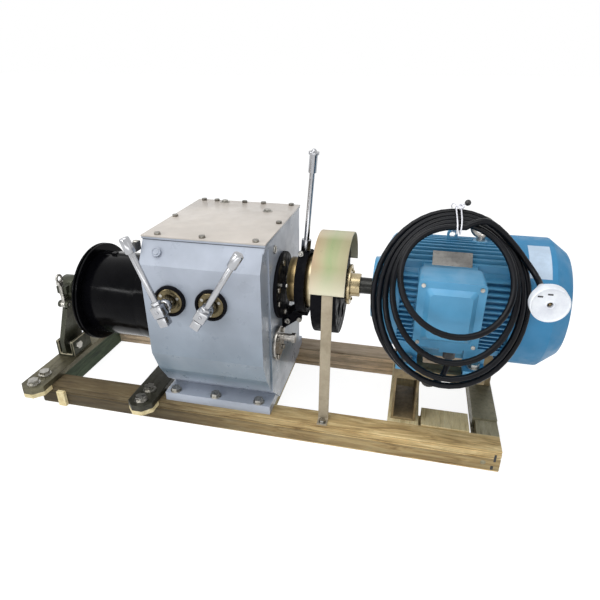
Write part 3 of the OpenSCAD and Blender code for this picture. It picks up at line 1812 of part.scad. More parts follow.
// One closed tube along the points; its rings keep their side toward the given direction
module tube(p, r, sides, side_dir) {
  n = len(p);
  rings = [
    for (i = [0 : n - 1])
      let (
        t = along(p, i),
        s = cross(t, side_dir),
        u = s / norm(s),
        v = cross(t, u)
      )
      for (k = [0 : sides - 1])
        p[i] + r * (cos(k * 360 / sides) * u + sin(k * 360 / sides) * v)
  ];
  walls = [
    for (i = [0 : n - 2], k = [0 : sides - 1])
      let (
        a = i * sides + k,
        b = i * sides + (k + 1) % sides
      )
      each [[a, a + sides, b + sides], [a, b + sides, b]]
  ];
  ends = [
    for (k = [1 : sides - 2])
      each [[0, k, k + 1], [(n - 1) * sides, (n - 1) * sides + k + 1, (n - 1) * sides + k]]
  ];
  polyhedron(points = rings, faces = concat(walls, ends));
}

module cable_coil() {
  color([0.08, 0.09, 0.14]) tube(coil_points, cable_r, coil_sides, coil_out);
  skip = floor(coil_rings / 2);
  echo(coil_gap = min([
    for (i = [0 : len(coil_points) - 1 - skip])
      min([for (j = [i + skip : len(coil_points) - 1]) norm(coil_points[i] - coil_points[j])])
  ]) - cable_d);
}

// The lead and the tail meet the coil's ends square and face to face
coil_first = coil_points[0];
coil_last = coil_points[coil_steps];
lead_route = route(concat(lead_points, [coil_first - cable_d * along(coil_points, 0), coil_first]), 3);
tail_route = route(concat([coil_last, coil_last + cable_d * along(coil_points, coil_steps)], tail_points), 3);

module cable_lead() {
  color([0.08, 0.09, 0.14]) tube(lead_route, cable_r, 8, lead_side);
}

module cable_tail() {
  color([0.08, 0.09, 0.14]) tube(tail_route, cable_r, 8, tail_side);
}

module cable_plug() {
  plug_at = tail_points[len(tail_points) - 1];
  color([0.9, 0.9, 0.88]) {
    along_y(plug_at[0], plug_at[1] - plug_neck - plug_len, plug_at[2])
      cylinder(r = plug_r_out, h = plug_len);
    along_y(plug_at[0], plug_at[1] - plug_neck - over, plug_at[2])
      cylinder(r1 = plug_shell_r, r2 = plug_neck_r, h = plug_neck + over);
  }
}

// The tie runs through the frame's lug and round the tops of all the loops
module tie_outline(grow) {
  hull() {
    for (t = [0.5 : coil_turns])
      translate([coil_point(t)[1], coil_point(t)[2]])
        circle(r = cable_r + gap + grow, $fn = 32);
    for (side = [-1, 1])
      translate([axis_y + side * tie_spread, lug_z])
        circle(r = tie_t / 2 + grow, $fn = 32);
  }
}

module coil_tie() {
  color("white")
    along_x(coil_x - tie_w / 2)
      linear_extrude(tie_w)
        difference() {
          tie_outline(tie_t);
          tie_outline(0);
        }
}

front_rail();
back_rail();
left_crossbeam();
middle_crossbeams();
right_crossbeam();
packing_boards();
drum_bar();
gearbox_bar();
skid_bolts();
beam_channel();
arm_socket();
support_arm();
tail_bush();
support_pins();
bearing_cap();
swing_bolt();
drum_barrel();
drum_flange();
drum_shaft();
gearbox_housing();
cover_gasket();
top_cover();
gearbox_screws();
oil_plugs();
foot_bolts();
shift_collars();
left_shift_lever();
right_shift_lever();
input_flange();
lower_cover();
input_shaft();
second_shaft();
third_shaft();
fork_bracket();
clutch_fork();
clutch_lever();
sliding_sleeve();
clutch_wheel();
coupling();
wheel_guard();
guard_leg();
motor_pedestal();
motor_rails();
motor_frame();
drive_endshield();
rear_endshield();
stator_core();
rotor();
cooling_fan();
fan_cowl();
terminal_box();
terminal_lid();
lid_screws();
cable_gland();
lifting_eye();
cable_coil();
cable_lead();
cable_tail();
cable_plug();
coil_tie();
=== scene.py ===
"""Looks of the electric cable winch: the finish of each solid, the cable and the finer pieces."""

import json
import math

import bpy
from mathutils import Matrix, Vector


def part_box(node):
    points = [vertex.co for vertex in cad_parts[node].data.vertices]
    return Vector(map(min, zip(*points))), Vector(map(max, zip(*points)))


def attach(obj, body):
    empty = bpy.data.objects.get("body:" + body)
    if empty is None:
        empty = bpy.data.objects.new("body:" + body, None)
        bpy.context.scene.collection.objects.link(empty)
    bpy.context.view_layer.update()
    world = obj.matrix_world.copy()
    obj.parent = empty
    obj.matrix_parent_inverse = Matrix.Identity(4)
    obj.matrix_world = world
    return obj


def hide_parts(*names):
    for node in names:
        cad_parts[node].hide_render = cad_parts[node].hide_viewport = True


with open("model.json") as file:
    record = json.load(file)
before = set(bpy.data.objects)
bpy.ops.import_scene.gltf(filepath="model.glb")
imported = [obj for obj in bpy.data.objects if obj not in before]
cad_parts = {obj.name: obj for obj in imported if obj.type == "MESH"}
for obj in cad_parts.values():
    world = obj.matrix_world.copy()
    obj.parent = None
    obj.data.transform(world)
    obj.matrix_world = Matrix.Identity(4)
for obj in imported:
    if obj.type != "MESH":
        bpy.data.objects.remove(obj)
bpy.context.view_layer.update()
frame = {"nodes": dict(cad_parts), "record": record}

# One millimetre in the scene's metres
MM = 0.001

# Camera at the photograph's place, in metres, with its lens and sensor in millimetres
CAMERA_AT = (0.3363, -1.1052, 0.8259)
CAMERA_LOOK = (-0.2022, 0.8782, -0.4333)
CAMERA_LENS = 29.93
SENSOR = 36.0

# The winch's own lines, in metres: the middle of all shafts, the motor's height and the drum's
AXIS_Y = -0.042
SHAFT_Z = 0.355
DRUM_Z = 0.272


def make_camera():
    data = bpy.data.cameras.new("camera")
    data.sensor_width = SENSOR
    data.lens = CAMERA_LENS
    camera = bpy.data.objects.new("camera", data)
    bpy.context.scene.collection.objects.link(camera)
    camera.location = CAMERA_AT
    camera.rotation_euler = Vector(CAMERA_LOOK).to_track_quat("-Z", "Y").to_euler()
    bpy.context.scene.camera = camera


make_camera()


# Colours

def srgb(red, green, blue):
    """A colour given as it shows on screen, from 0 to 255, in the shader's linear values."""
    parts = [part / 255 for part in (red, green, blue)]
    return tuple(part / 12.92 if part <= 0.04045 else ((part + 0.055) / 1.055) ** 2.4 for part in parts)


def grey(value):
    return (value, value, value)


def tones(*stops):
    """Stops of a ramp in plain grey: (position, value) pairs."""
    return [(position, grey(value)) for position, value in stops]


def shades(*stops):
    """Stops of a ramp in screen colours: (position, (red, green, blue)) pairs."""
    return [(position, srgb(*colour)) for position, colour in stops]


# Node helpers: most return the socket that the next one takes

FINISHES = {}


def new_finish(name, colour, roughness, metallic=0.0, **extra):
    """A material whose plain values sit on the shader's own sockets, kept under its name."""
    material = bpy.data.materials.new(name)
    material.use_nodes = True
    shader = material.node_tree.nodes["Principled BSDF"]
    shader.inputs["Base Color"].default_value = (*colour, 1)
    shader.inputs["Roughness"].default_value = roughness
    shader.inputs["Metallic"].default_value = metallic
    for socket, value in extra.items():
        shader.inputs[socket.replace("_", " ")].default_value = value
    FINISHES[name] = material
    return material


def join(material, source, target):
    material.node_tree.links.new(source, target)


def feed(material, name, source):
    """The source sets one of the shader's own sockets over the whole surface."""
    join(material, source, material.node_tree.nodes["Principled BSDF"].inputs[name])


def spot(material, stretch=(1, 1, 1)):
    """Object coordinates, stretched for a grain."""
    nodes = material.node_tree.nodes
    place = nodes.new("ShaderNodeTexCoord")
    mapping = nodes.new("ShaderNodeMapping")
    mapping.inputs["Scale"].default_value = stretch
    join(material, place.outputs["Object"], mapping.inputs["Vector"])
    return mapping.outputs["Vector"]


def noise(material, vector, scale, detail, rough=0.55, swirl=0.0):
    node = material.node_tree.nodes.new("ShaderNodeTexNoise")
    node.inputs["Scale"].default_value = scale
    node.inputs["Detail"].default_value = detail
    node.inputs["Roughness"].default_value = rough
    node.inputs["Distortion"].default_value = swirl
    join(material, vector, node.inputs["Vector"])
    return node.outputs["Fac"]


def ramp(material, factor, *stops, steps=False):
    """Colours by position: each stop is (position, colour), blended or in hard steps."""
    node = material.node_tree.nodes.new("ShaderNodeValToRGB")
    node.color_ramp.interpolation = "CONSTANT" if steps else "LINEAR"
    elements = node.color_ramp.elements
    while len(elements) < len(stops):
        elements.new(0.5)
    for element, (position, colour) in zip(elements, stops):
        element.position = position
        element.color = (*colour, 1)
    join(material, factor, node.inputs["Fac"])
    return node.outputs["Color"]


def mix(material, factor, first, second, blend="MIX"):
    """Two colours mixed by a factor, each a socket or a plain colour."""
    node = material.node_tree.nodes.new("ShaderNodeMix")
    node.data_type = "RGBA"
    node.blend_type = blend
    for name, value in (("Factor", factor), ("A", first), ("B", second)):
        kind = "NodeSocketFloatFactor" if name == "Factor" else "NodeSocketColor"
        target = next(s for s in node.inputs if s.name == name and s.bl_idname.startswith(kind))
        if isinstance(value, bpy.types.NodeSocket):
            join(material, value, target)
        else:
            target.default_value = value if name == "Factor" else (*value, 1)
    return next(s for s in node.outputs if s.bl_idname.startswith("NodeSocketColor"))


def relief(material, height, strength, distance):
    """Fine bumps in the surface, their distance in metres."""
    node = material.node_tree.nodes.new("ShaderNodeBump")
    node.inputs["Strength"].default_value = strength
    node.inputs["Distance"].default_value = distance
    join(material, height, node.inputs["Height"])
    feed(material, "Normal", node.outputs["Normal"])


def along(material, axis, low, high):
    """A ramp's position from one coordinate of the piece, in metres: 0 at the low end and 1 at the high."""
    nodes = material.node_tree.nodes
    parts = nodes.new("ShaderNodeSeparateXYZ")
    join(material, spot(material), parts.inputs["Vector"])
    fitted = nodes.new("ShaderNodeMath")
    fitted.operation = "MULTIPLY_ADD"
    fitted.inputs[1].default_value = 1 / (high - low)
    fitted.inputs[2].default_value = -low / (high - low)
    join(material, parts.outputs[axis], fitted.inputs[0])
    return fitted.outputs["Value"]


# Sizes that the finishes follow, in metres

def reach(node, axis):
    """A node's lowest and highest place along an axis."""
    low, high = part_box(node)
    return low[axis], high[axis]


RAIL_TOP = reach("front_rail", 2)[1]
RAIL_REACH = reach("front_rail", 0)
RAIL_HALF = (RAIL_REACH[1] - RAIL_REACH[0]) / 2
SLEEVE_REACH = reach("sliding_sleeve", 0)
GUARD_REACH = reach("wheel_guard", 0)
GUARD_CREST = (0.38, 0.48)
# Heights in metres over which the housing's paint takes its painted shade low down
HOUSING_PAINT_SPAN = (0.06, 0.44)


# How each kind of finish is made

def enamel(name, colour, roughness, coat, low=None, span=(0, 1)):
    """Sprayed machine paint: a slight orange peel, faint clouds of tone and patches of dust.

    Where a low colour is given, the paint deepens to it toward the foot of the span of heights, as painted
    shade on the lower part."""
    material = new_finish(name, colour, roughness, Coat_Weight=coat, Coat_Roughness=0.12)
    clouds = noise(material, spot(material), scale=9, detail=4)
    darker = tuple(part * 0.88 for part in colour)
    lighter = tuple(min(1, part * 1.08 + 0.005) for part in colour)
    paint = ramp(material, clouds, (0.36, darker), (0.66, lighter))
    if low:
        height = along(material, "Z", *span)
        # Painted shade: the paint multiplied by the low colour, strongest about a quarter of the way up the
        # span
        grime_and_painted_shade = mix(material, 1.0, paint, low, "MULTIPLY")
        depth = ramp(material, height, *tones((0, 0), (0.12, 0.1), (0.24, 1), (0.6, 0.4), (1, 0)))
        paint = mix(material, depth, paint, grime_and_painted_shade)
    feed(material, "Base Color", paint)
    patches = noise(material, spot(material), scale=26, detail=5, rough=0.65)
    glossy, matt = roughness * 0.8, min(1, roughness * 1.5)
    feed(material, "Roughness", ramp(material, patches, *tones((0.38, glossy), (0.7, matt))))
    relief(material, noise(material, spot(material), scale=420, detail=2), strength=0.08, distance=0.0004)
    return material


def plated(name, colour, roughness, tint, stain, metallic=1.0, stretch=(1, 1, 1), bump=0.1):
    """Plated or turned metal with fine scratches and a stain that shifts its tint."""
    material = new_finish(name, colour, roughness, metallic)
    cloud = noise(material, spot(material), scale=14, detail=5, rough=0.6, swirl=0.4)
    base = ramp(material, cloud, (0.32, tint), (0.62, colour))
    freckles = noise(material, spot(material), scale=95, detail=4, rough=0.7)
    specks = ramp(material, freckles, *tones((0.3, 1 - stain), (0.52, 1)))
    feed(material, "Base Color", mix(material, 1.0, base, specks, "MULTIPLY"))
    scratches = noise(material, spot(material, stretch), scale=160, detail=4, rough=0.7)
    glossy, matt = roughness * 0.7, min(1, roughness * 1.6)
    feed(material, "Roughness", ramp(material, scratches, *tones((0.35, glossy), (0.7, matt))))
    relief(material, scratches, strength=bump, distance=0.0003)
    return material


def banded_gold(name):
    """Turned and zinc-plated steel of the sleeve: brown gold in light and dark bands across its length, which
    are painted highlights and reflections, with fine turned rings.
    """
    material = new_finish(name, srgb(128, 112, 82), 0.3, 0.85)
    # Painted highlights and reflections: light and dark bands along the sleeve, brightest just past its
    # middle
    bands = ramp(material, along(material, "X", *SLEEVE_REACH),
                 *shades((0.0, (196, 176, 128)), (0.06, (110, 94, 62)), (0.16, (150, 130, 92)),
                         (0.26, (120, 100, 66)), (0.44, (132, 116, 84)), (0.5, (214, 204, 176)),
                         (0.56, (190, 176, 140)), (1.0, (168, 152, 112))))
    grooves = noise(material, spot(material, (1, 0.01, 0.01)), scale=900, detail=2)
    rings = ramp(material, grooves, *tones((0.3, 0.75), (0.6, 1)))
    feed(material, "Base Color", mix(material, 1.0, bands, rings, "MULTIPLY"))
    turning = noise(material, spot(material, (1, 0.02, 0.02)), scale=700, detail=2)
    relief(material, turning, strength=0.12, distance=0.0002)
    return material


def timber(name, pale, mid, dark, stretch, plies=(), shade=None):
    """Sawn timber: long grain, darker growth lines, saw fuzz and grey dirt, and glued plies where given.

    Plies are (share of the height, tone) steps, and the shade darkens the wood toward the skid's left end,
    where the drum is: painted shadow of the drum, with darker timber there too."""
    material = new_finish(name, mid, 0.8)
    vector = spot(material, stretch)
    long_grain = noise(material, vector, scale=9, detail=6, rough=0.62, swirl=0.9)
    fine = noise(material, vector, scale=63, detail=4, rough=0.7, swirl=0.2)
    wood = ramp(material, long_grain, (0.28, dark), (0.45, mid), (0.68, pale))
    fibres = ramp(material, fine, *tones((0.3, 0.7), (0.6, 1)))
    wood = mix(material, 0.8, wood, fibres, "MULTIPLY")
    if plies:
        layers = ramp(material, along(material, "Z", 0, RAIL_TOP), *tones(*plies), steps=True)
        wood = mix(material, 1.0, wood, layers, "MULTIPLY")
    grime_and_painted_shade = noise(material, spot(material), scale=11, detail=5, rough=0.62)
    dirt = ramp(material, grime_and_painted_shade, *tones((0.45, 0), (0.8, 0.55)))
    wood = mix(material, dirt, wood, tuple(part * 0.6 for part in mid))
    if shade:
        left, right = shade
        # Painted shadow of the drum, with darker timber: the wood darkens toward the skid's left end
        drum_shadow_and_tone = ramp(material, along(material, "X", -RAIL_HALF, RAIL_HALF),
                      *tones((0.0, left), (0.32, left * 1.5), (0.56, 0.75 * right), (0.8, right)))
        wood = mix(material, 1.0, wood, drum_shadow_and_tone, "MULTIPLY")
    feed(material, "Base Color", wood)
    relief(material, fine, strength=0.5, distance=0.0008)
    return material


def glossy_black(name, roughness, lift):
    """Black paint with a haze of dust and light rubbing, from a black lifted a little."""
    material = new_finish(name, grey(lift), roughness, Specular_IOR_Level=0.045)
    haze = noise(material, spot(material), scale=17, detail=5, rough=0.65)
    clean, dusty = (lift, lift, lift * 1.4), (lift * 2.4, lift * 2.4, lift * 3)
    feed(material, "Base Color", ramp(material, haze, (0.4, clean), (0.75, dusty)))
    wear = noise(material, spot(material), scale=70, detail=5, rough=0.7)
    rubbed, matt = roughness * 0.7, roughness * 2.0
    feed(material, "Roughness", ramp(material, wear, *tones((0.35, rubbed), (0.72, matt))))
    relief(material, noise(material, spot(material), scale=300, detail=2), strength=0.06, distance=0.0003)
    return material


def moulded(name, colour, roughness, grain=0.15):
    """Moulded plastic or rubber with a fine grain and slight scuffs."""
    material = new_finish(name, colour, roughness)
    scuffs = noise(material, spot(material), scale=40, detail=5, rough=0.65)
    lighter = tuple(min(1, part * 1.25 + 0.01) for part in colour)
    feed(material, "Base Color", ramp(material, scuffs, (0.42, colour), (0.8, lighter)))
    glossy, matt = roughness * 0.85, min(1, roughness * 1.25)
    feed(material, "Roughness", ramp(material, scuffs, *tones((0.3, glossy), (0.7, matt))))
    relief(material, noise(material, spot(material), scale=900, detail=2), strength=grain, distance=0.0003)
    return material


def yellow_zinc(name):
    """Yellow passivated zinc on the guard: pink at its near edge and green over the top.

    It is pale low down, and pale again at the very top, where that is a painted highlight."""
    material = new_finish(name, srgb(206, 200, 172), 0.5, 0.12)
    drift = noise(material, spot(material, (3.0, 1.2, 1.6)), scale=5, detail=3, rough=0.5, swirl=1.2)
    place = mix(material, 0.42, along(material, "X", *GUARD_REACH), drift)
    bands = ramp(material, place,
                 *shades((0.14, (174, 146, 116)), (0.34, (164, 156, 120)), (0.5, (144, 156, 110)),
                         (0.66, (162, 160, 122)), (0.84, (168, 156, 124))))
    height = along(material, "Z", *GUARD_CREST)
    # Paler low down, and a painted highlight at the very top of the crest
    pale = ramp(material, height, *tones((0.0, 0.7), (0.3, 0.25), (0.5, 0), (0.92, 0), (1.0, 0.5)))
    bands = mix(material, pale, bands, srgb(234, 226, 202))
    freckles = noise(material, spot(material), scale=60, detail=4, rough=0.7)
    specks = ramp(material, freckles, *tones((0.24, 0.66), (0.36, 1)))
    feed(material, "Base Color", mix(material, 1.0, bands, specks, "MULTIPLY"))
    relief(material, noise(material, spot(material), scale=240, detail=3), strength=0.1, distance=0.0003)
    return material


def cable_sheath(name):
    """Smooth black rubber with a blue cast, dusty where it was handled."""
    material = new_finish(name, srgb(14, 15, 20), 0.32, Specular_IOR_Level=0.16)
    dust = noise(material, spot(material), scale=30, detail=5, rough=0.7)
    rubber = ramp(material, dust, *shades((0.4, (5, 6, 10)), (0.62, (10, 12, 18)), (0.82, (26, 28, 34))))
    feed(material, "Base Color", rubber)
    feed(material, "Roughness", ramp(material, dust, *tones((0.35, 0.26), (0.75, 0.44))))
    relief(material, noise(material, spot(material), scale=500, detail=2), strength=0.08, distance=0.0003)
    return material


# Timber: the grain runs along the crossbeams or along the rails

ACROSS = (9, 1, 9)
LENGTHWAYS = (1, 9, 9)

# Glued plies of the rails, from the underside up: share of the height and tone
# In the front rail, the tone 0.3 from 0.64 up is painted shade in the gap where that board stands back
FRONT_PLIES = ((0.0, 1.3), (0.05, 0.6), (0.3, 0.74), (0.5, 0.54), (0.6, 1.4), (0.64, 0.3), (0.68, 1.05),
               (0.86, 1.3), (0.9, 0.6), (0.93, 1.2))
# The back rail's tones lift it well above its timber's colour: painted light where it sits behind the
# gearbox, over its real ply layers
BACK_PLIES = ((0.0, 1.7), (0.16, 1.3), (0.24, 1.7), (0.42, 1.2), (0.7, 1.6), (0.9, 0.9))

timber("timber", srgb(246, 232, 190), srgb(230, 212, 162), srgb(176, 154, 106), ACROSS)
# The front rail's shade darkens its left part: the drum's painted shadow with darker timber
timber("front_plies", srgb(238, 214, 160), srgb(198, 168, 114), srgb(124, 98, 58), LENGTHWAYS,
       plies=FRONT_PLIES, shade=(0.14, 1.0))
timber("back_plies", srgb(226, 204, 178), srgb(200, 178, 150), srgb(150, 130, 104), LENGTHWAYS,
       plies=BACK_PLIES, shade=(0.8, 1.0))
timber("green_timber", srgb(110, 124, 98), srgb(78, 92, 72), srgb(44, 54, 40), ACROSS)
timber("grey_timber", srgb(184, 176, 148), srgb(156, 148, 120), srgb(104, 96, 74), ACROSS)

# Steel, bronze and zinc: colour, roughness, tint of the stain, how dark its specks are, share of metal

plated("bar_steel", srgb(108, 103, 82), 0.4, srgb(66, 62, 46), 0.3, metallic=0.6)
plated("bolt_steel", srgb(188, 186, 180), 0.3, srgb(140, 137, 130), 0.4)
plated("dark_steel", srgb(66, 68, 54), 0.4, srgb(42, 44, 32), 0.3, metallic=0.5)
plated("bronze", srgb(104, 94, 70), 0.24, srgb(70, 62, 44), 0.2, metallic=0.9)
plated("brass", srgb(150, 132, 96), 0.32, srgb(92, 76, 50), 0.4, metallic=0.9)
plated("bright_steel", srgb(196, 193, 188), 0.28, srgb(150, 146, 140), 0.35)
plated("dark_bar", srgb(62, 61, 50), 0.42, srgb(38, 37, 28), 0.3, metallic=0.5)
plated("olive_plate", srgb(140, 136, 112), 0.45, srgb(104, 100, 80), 0.3, metallic=0.3)
plated("cut_edge", srgb(176, 168, 144), 0.4, srgb(138, 130, 106), 0.3, metallic=0.3)
plated("shaft_black", srgb(52, 52, 50), 0.3, srgb(36, 36, 34), 0.2, metallic=0.8)
plated("hub_gold", srgb(196, 180, 146), 0.24, srgb(150, 134, 100), 0.15, metallic=0.9)
plated("screw_silver", srgb(150, 146, 138), 0.28, srgb(84, 80, 72), 0.5)
plated("chrome", srgb(178, 179, 182), 0.2, srgb(160, 161, 164), 0.04, stretch=(1, 1, 0.1), bump=0.02)
plated("leg_zinc", srgb(168, 156, 134), 0.5, srgb(146, 134, 112), 0.12, metallic=0.25)
plated("stand_steel", srgb(146, 128, 94), 0.45, srgb(100, 86, 58), 0.4, metallic=0.2)
plated("plate_metal", srgb(166, 163, 158), 0.4, srgb(128, 124, 120), 0.2, metallic=0.6)
banded_gold("gold_zinc")
yellow_zinc("guard_zinc")

# Paint

# The housing's paint, with painted shade toward its foot
enamel("gearbox_paint", srgb(168, 175, 187), 0.34, coat=0.2, low=srgb(156, 174, 180), span=HOUSING_PAINT_SPAN)
enamel("cover_paint", srgb(196, 188, 179), 0.36, coat=0.1)
# A lighter paint on the housing's rounded edges: a painted highlight
enamel("edge_highlight_paint", srgb(206, 212, 222), 0.3, coat=0.2)
enamel("motor_blue", srgb(76, 148, 188), 0.4, coat=0.08)
enamel("cowl_blue", srgb(46, 128, 174), 0.5, coat=0.03)
# A lighter blue on the rounded edges of the terminal lid and the fins: a painted highlight
enamel("edge_highlight_blue", srgb(120, 184, 216), 0.34, coat=0.1)
glossy_black("drum_black", 0.12, lift=0.0014)
glossy_black("black_steel", 0.42, lift=0.004)

# Rubber, plastic and vinyl

moulded("gasket", srgb(66, 70, 76), 0.6)
moulded("fan_plastic", grey(0.03), 0.5)
moulded("gland_plastic", grey(0.02), 0.45)
moulded("plug_plastic", srgb(226, 229, 236), 0.4, grain=0.06)
moulded("tie_plastic", srgb(226, 226, 232), 0.4, grain=0.1)
moulded("label_vinyl", srgb(186, 204, 222), 0.6, grain=0.04)
cable_sheath("cable_rubber")

# Solids whose finish is finer than their slot's
OWN_FINISH = {
    "coupling": "hub_gold", "gearbox_screws": "screw_silver", "right_crossbeam": "grey_timber",
    "fan_cowl": "cowl_blue", "gearbox_bar": "dark_bar", "fork_bracket": "black_steel",
    "rotor": "shaft_black", "beam_channel": "olive_plate",
}


def dress_nodes():
    """Each solid takes the finish of its slot in the record, or its own finer one."""
    for part in frame["record"]["subparts"]:
        node = frame["nodes"][part["node"]]
        node.data.materials.clear()
        node.data.materials.append(FINISHES[OWN_FINISH.get(part["node"], part["material_slot"])])


dress_nodes()


# Rounded edges of the castings, plates and bars: node and width in millimetres
EDGE_WIDTHS = {
    "gearbox_housing": 3.0, "drum_bar": 1.2, "gearbox_bar": 1.2, "arm_socket": 2.2, "support_arm": 2.2,
    "bearing_cap": 1.5, "terminal_box": 2.0, "terminal_lid": 1.6, "motor_frame": 0.6, "drive_endshield": 2.0,
    "fan_cowl": 1.0, "motor_pedestal": 1.0, "motor_rails": 1.2, "clutch_wheel": 1.5, "coupling": 1.0,
    "sliding_sleeve": 1.5, "clutch_fork": 1.5, "fork_bracket": 1.0, "input_flange": 1.0, "lower_cover": 1.0,
    "clutch_lever": 1.0, "drum_barrel": 1.5, "drum_flange": 1.5, "wheel_guard": 0.6,
    "skid_bolts": 0.6, "foot_bolts": 0.6, "gearbox_screws": 0.5, "right_crossbeam": 1.5,
    "left_crossbeam": 1.5, "middle_crossbeams": 1.5, "packing_boards": 1.0, "beam_channel": 1.2,
    "rear_endshield": 1.0, "lid_screws": 0.5,
}

# Lighter finishes on the rounded edges: a painted highlight on the housing, the terminal lid and the motor
# frame, and the bare cut plate on the arm and its socket
EDGE_FINISH = {"gearbox_housing": "edge_highlight_paint", "support_arm": "cut_edge", "arm_socket": "cut_edge",
               "terminal_lid": "edge_highlight_blue", "motor_frame": "edge_highlight_blue"}

# The finish of an edge is the second one on its solid
EDGE_SLOT = 1
WELD_GAP = 0.01


def round_edges():
    """Welds each solid's mesh and bevels its sharp edges, as modifiers over the untouched solid."""
    for name, width in EDGE_WIDTHS.items():
        node = frame["nodes"][name]
        weld = node.modifiers.new("weld", "WELD")
        weld.merge_threshold = WELD_GAP * MM
        bevel = node.modifiers.new("edges", "BEVEL")
        bevel.width = width * MM
        bevel.segments = 2
        bevel.limit_method = "ANGLE"
        bevel.angle_limit = math.radians(30)
        bevel.miter_outer = "MITER_ARC"
        if name in EDGE_FINISH:
            node.data.materials.append(FINISHES[EDGE_FINISH[name]])
            bevel.material = EDGE_SLOT


round_edges()


# Modelling helpers: sizes in millimetres, shaped in edit mode and finished with applied modifiers

FRONT = (0, -1, 0)
LEFT = (-1, 0, 0)
RIGHT = (1, 0, 0)
UP = (0, 0, 1)

# Edges that turn more than this are rounded, and the rest is shaded smooth
SHARP = math.radians(35)


def start():
    """Nothing is selected and no piece is being edited."""
    if bpy.context.object and bpy.context.object.mode != "OBJECT":
        bpy.ops.object.mode_set(mode="OBJECT")
    bpy.ops.object.select_all(action="DESELECT")


def pick(piece):
    """The piece alone is selected, and the next operator acts on it."""
    start()
    piece.select_set(True)
    bpy.context.view_layer.objects.active = piece


def edit_all():
    """The picked piece is opened in edit mode with all of it selected."""
    bpy.ops.object.mode_set(mode="EDIT")
    bpy.ops.mesh.select_all(action="SELECT")


def set_in_mesh(piece):
    """The piece's place, turn and scale go into its mesh, and its object ends at the origin."""
    pick(piece)
    bpy.ops.object.transform_apply(location=True, rotation=True, scale=True)


def settle(piece, body, slot, *replaced, finish=None):
    """The piece's place goes into its mesh, it takes its finish and rides on its body."""
    set_in_mesh(piece)
    piece.data.materials.clear()
    piece.data.materials.append(FINISHES[finish or slot])
    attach(piece, body)
    if replaced:
        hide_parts(*replaced)
    return piece


def tube_along(name, points, radius, roundness=3):
    """A round tube along points, all in metres, as a mesh with closed ends."""
    start()
    curve = bpy.data.curves.new(name, "CURVE")
    curve.dimensions = "3D"
    curve.bevel_depth = radius
    curve.bevel_resolution = roundness
    curve.use_fill_caps = True
    line = curve.splines.new("POLY")
    line.points.add(len(points) - 1)
    for point, place in zip(line.points, points):
        point.co = (*place, 1)
    piece = bpy.data.objects.new(name, curve)
    bpy.context.scene.collection.objects.link(piece)
    piece.select_set(True)
    bpy.context.view_layer.objects.active = piece
    bpy.ops.object.convert(target="MESH")
    piece = bpy.context.object
    piece.name = name
    edit_all()
    bpy.ops.mesh.remove_doubles(threshold=1e-6)
    bpy.ops.mesh.normals_make_consistent(inside=False)
    bpy.ops.object.mode_set(mode="OBJECT")
    bpy.ops.object.shade_smooth_by_angle(angle=math.radians(40))
    return piece


def soften(piece, width):
    """Rounds the sharp edges and shades the rest smooth."""
    pick(piece)
    if width:
        bevel = piece.modifiers.new("edges", "BEVEL")
        bevel.width = width * MM
        bevel.segments = 2
        bevel.limit_method = "ANGLE"
        bevel.angle_limit = SHARP
        bpy.ops.object.modifier_apply(modifier="edges")
    bpy.ops.object.shade_smooth_by_angle(angle=SHARP)
    return piece


def turned(name, profile, sides=48, edge=0.4):
    """A turned form about Z: a disc drawn out and scaled through (radius, height) pairs."""
    start()
    radius, height = profile[0]
    bpy.ops.mesh.primitive_circle_add(vertices=sides, radius=radius * MM, fill_type="NGON")
    piece = bpy.context.object
    piece.name = name
    edit_all()
    bpy.ops.transform.translate(value=(0, 0, height * MM))
    for next_radius, next_height in profile[1:]:
        rise = (next_height - height) * MM
        share = next_radius / radius
        bpy.ops.mesh.extrude_region_move(TRANSFORM_OT_translate={"value": (0, 0, rise)})
        bpy.ops.transform.resize(value=(share, share, 1), center_override=(0, 0, 0))
        radius, height = next_radius, next_height
    bpy.ops.mesh.select_all(action="SELECT")
    bpy.ops.mesh.normals_make_consistent(inside=False)
    bpy.ops.object.mode_set(mode="OBJECT")
    return soften(piece, edge)


def block(name, low, high):
    """A plain block between two corners, its place still in its object."""
    start()
    middle = [(a + b) / 2 * MM for a, b in zip(low, high)]
    bpy.ops.mesh.primitive_cube_add(size=1, location=middle)
    piece = bpy.context.object
    piece.name = name
    edit_all()
    bpy.ops.transform.resize(value=[(b - a) * MM for a, b in zip(low, high)], center_override=middle)
    bpy.ops.object.mode_set(mode="OBJECT")
    return piece


def slab(name, low, high, edge):
    """A block between two corners with rounded edges."""
    piece = block(name, low, high)
    set_in_mesh(piece)
    return soften(piece, edge)


def sheet(name, columns, rows, thickness, side, place_of):
    """A bent sheet: a grid whose points go where place_of puts them, from their shares across and up.

    Its thickness goes outwards where side is 1, and half to each side where it is 0."""
    start()
    bpy.ops.mesh.primitive_grid_add(x_subdivisions=columns, y_subdivisions=rows, size=2)
    piece = bpy.context.object
    piece.name = name
    for vertex in piece.data.vertices:
        across, up = (vertex.co.x + 1) / 2, (vertex.co.y + 1) / 2
        vertex.co = Vector(place_of(across, up)) * MM
    shell = piece.modifiers.new("shell", "SOLIDIFY")
    shell.thickness = thickness * MM
    shell.offset = side
    bpy.ops.object.modifier_apply(modifier="shell")
    return piece


def aim(piece, place, direction):
    """Turns the piece's Z to a direction and moves its origin to a place."""
    piece.rotation_euler = Vector(direction).to_track_quat("Z", "Y").to_euler()
    piece.location = Vector(place) * MM
    set_in_mesh(piece)
    return piece


def joined(name, pieces):
    """Several shapes as one mesh."""
    start()
    for piece in pieces:
        piece.select_set(True)
    bpy.context.view_layer.objects.active = pieces[0]
    bpy.ops.object.join()
    pieces[0].name = name
    return pieces[0]


def corners(node):
    """A node's lowest and highest corners, in millimetres."""
    return [[part / MM for part in corner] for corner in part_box(node)]


# Cable: the route in the part's source, in metres

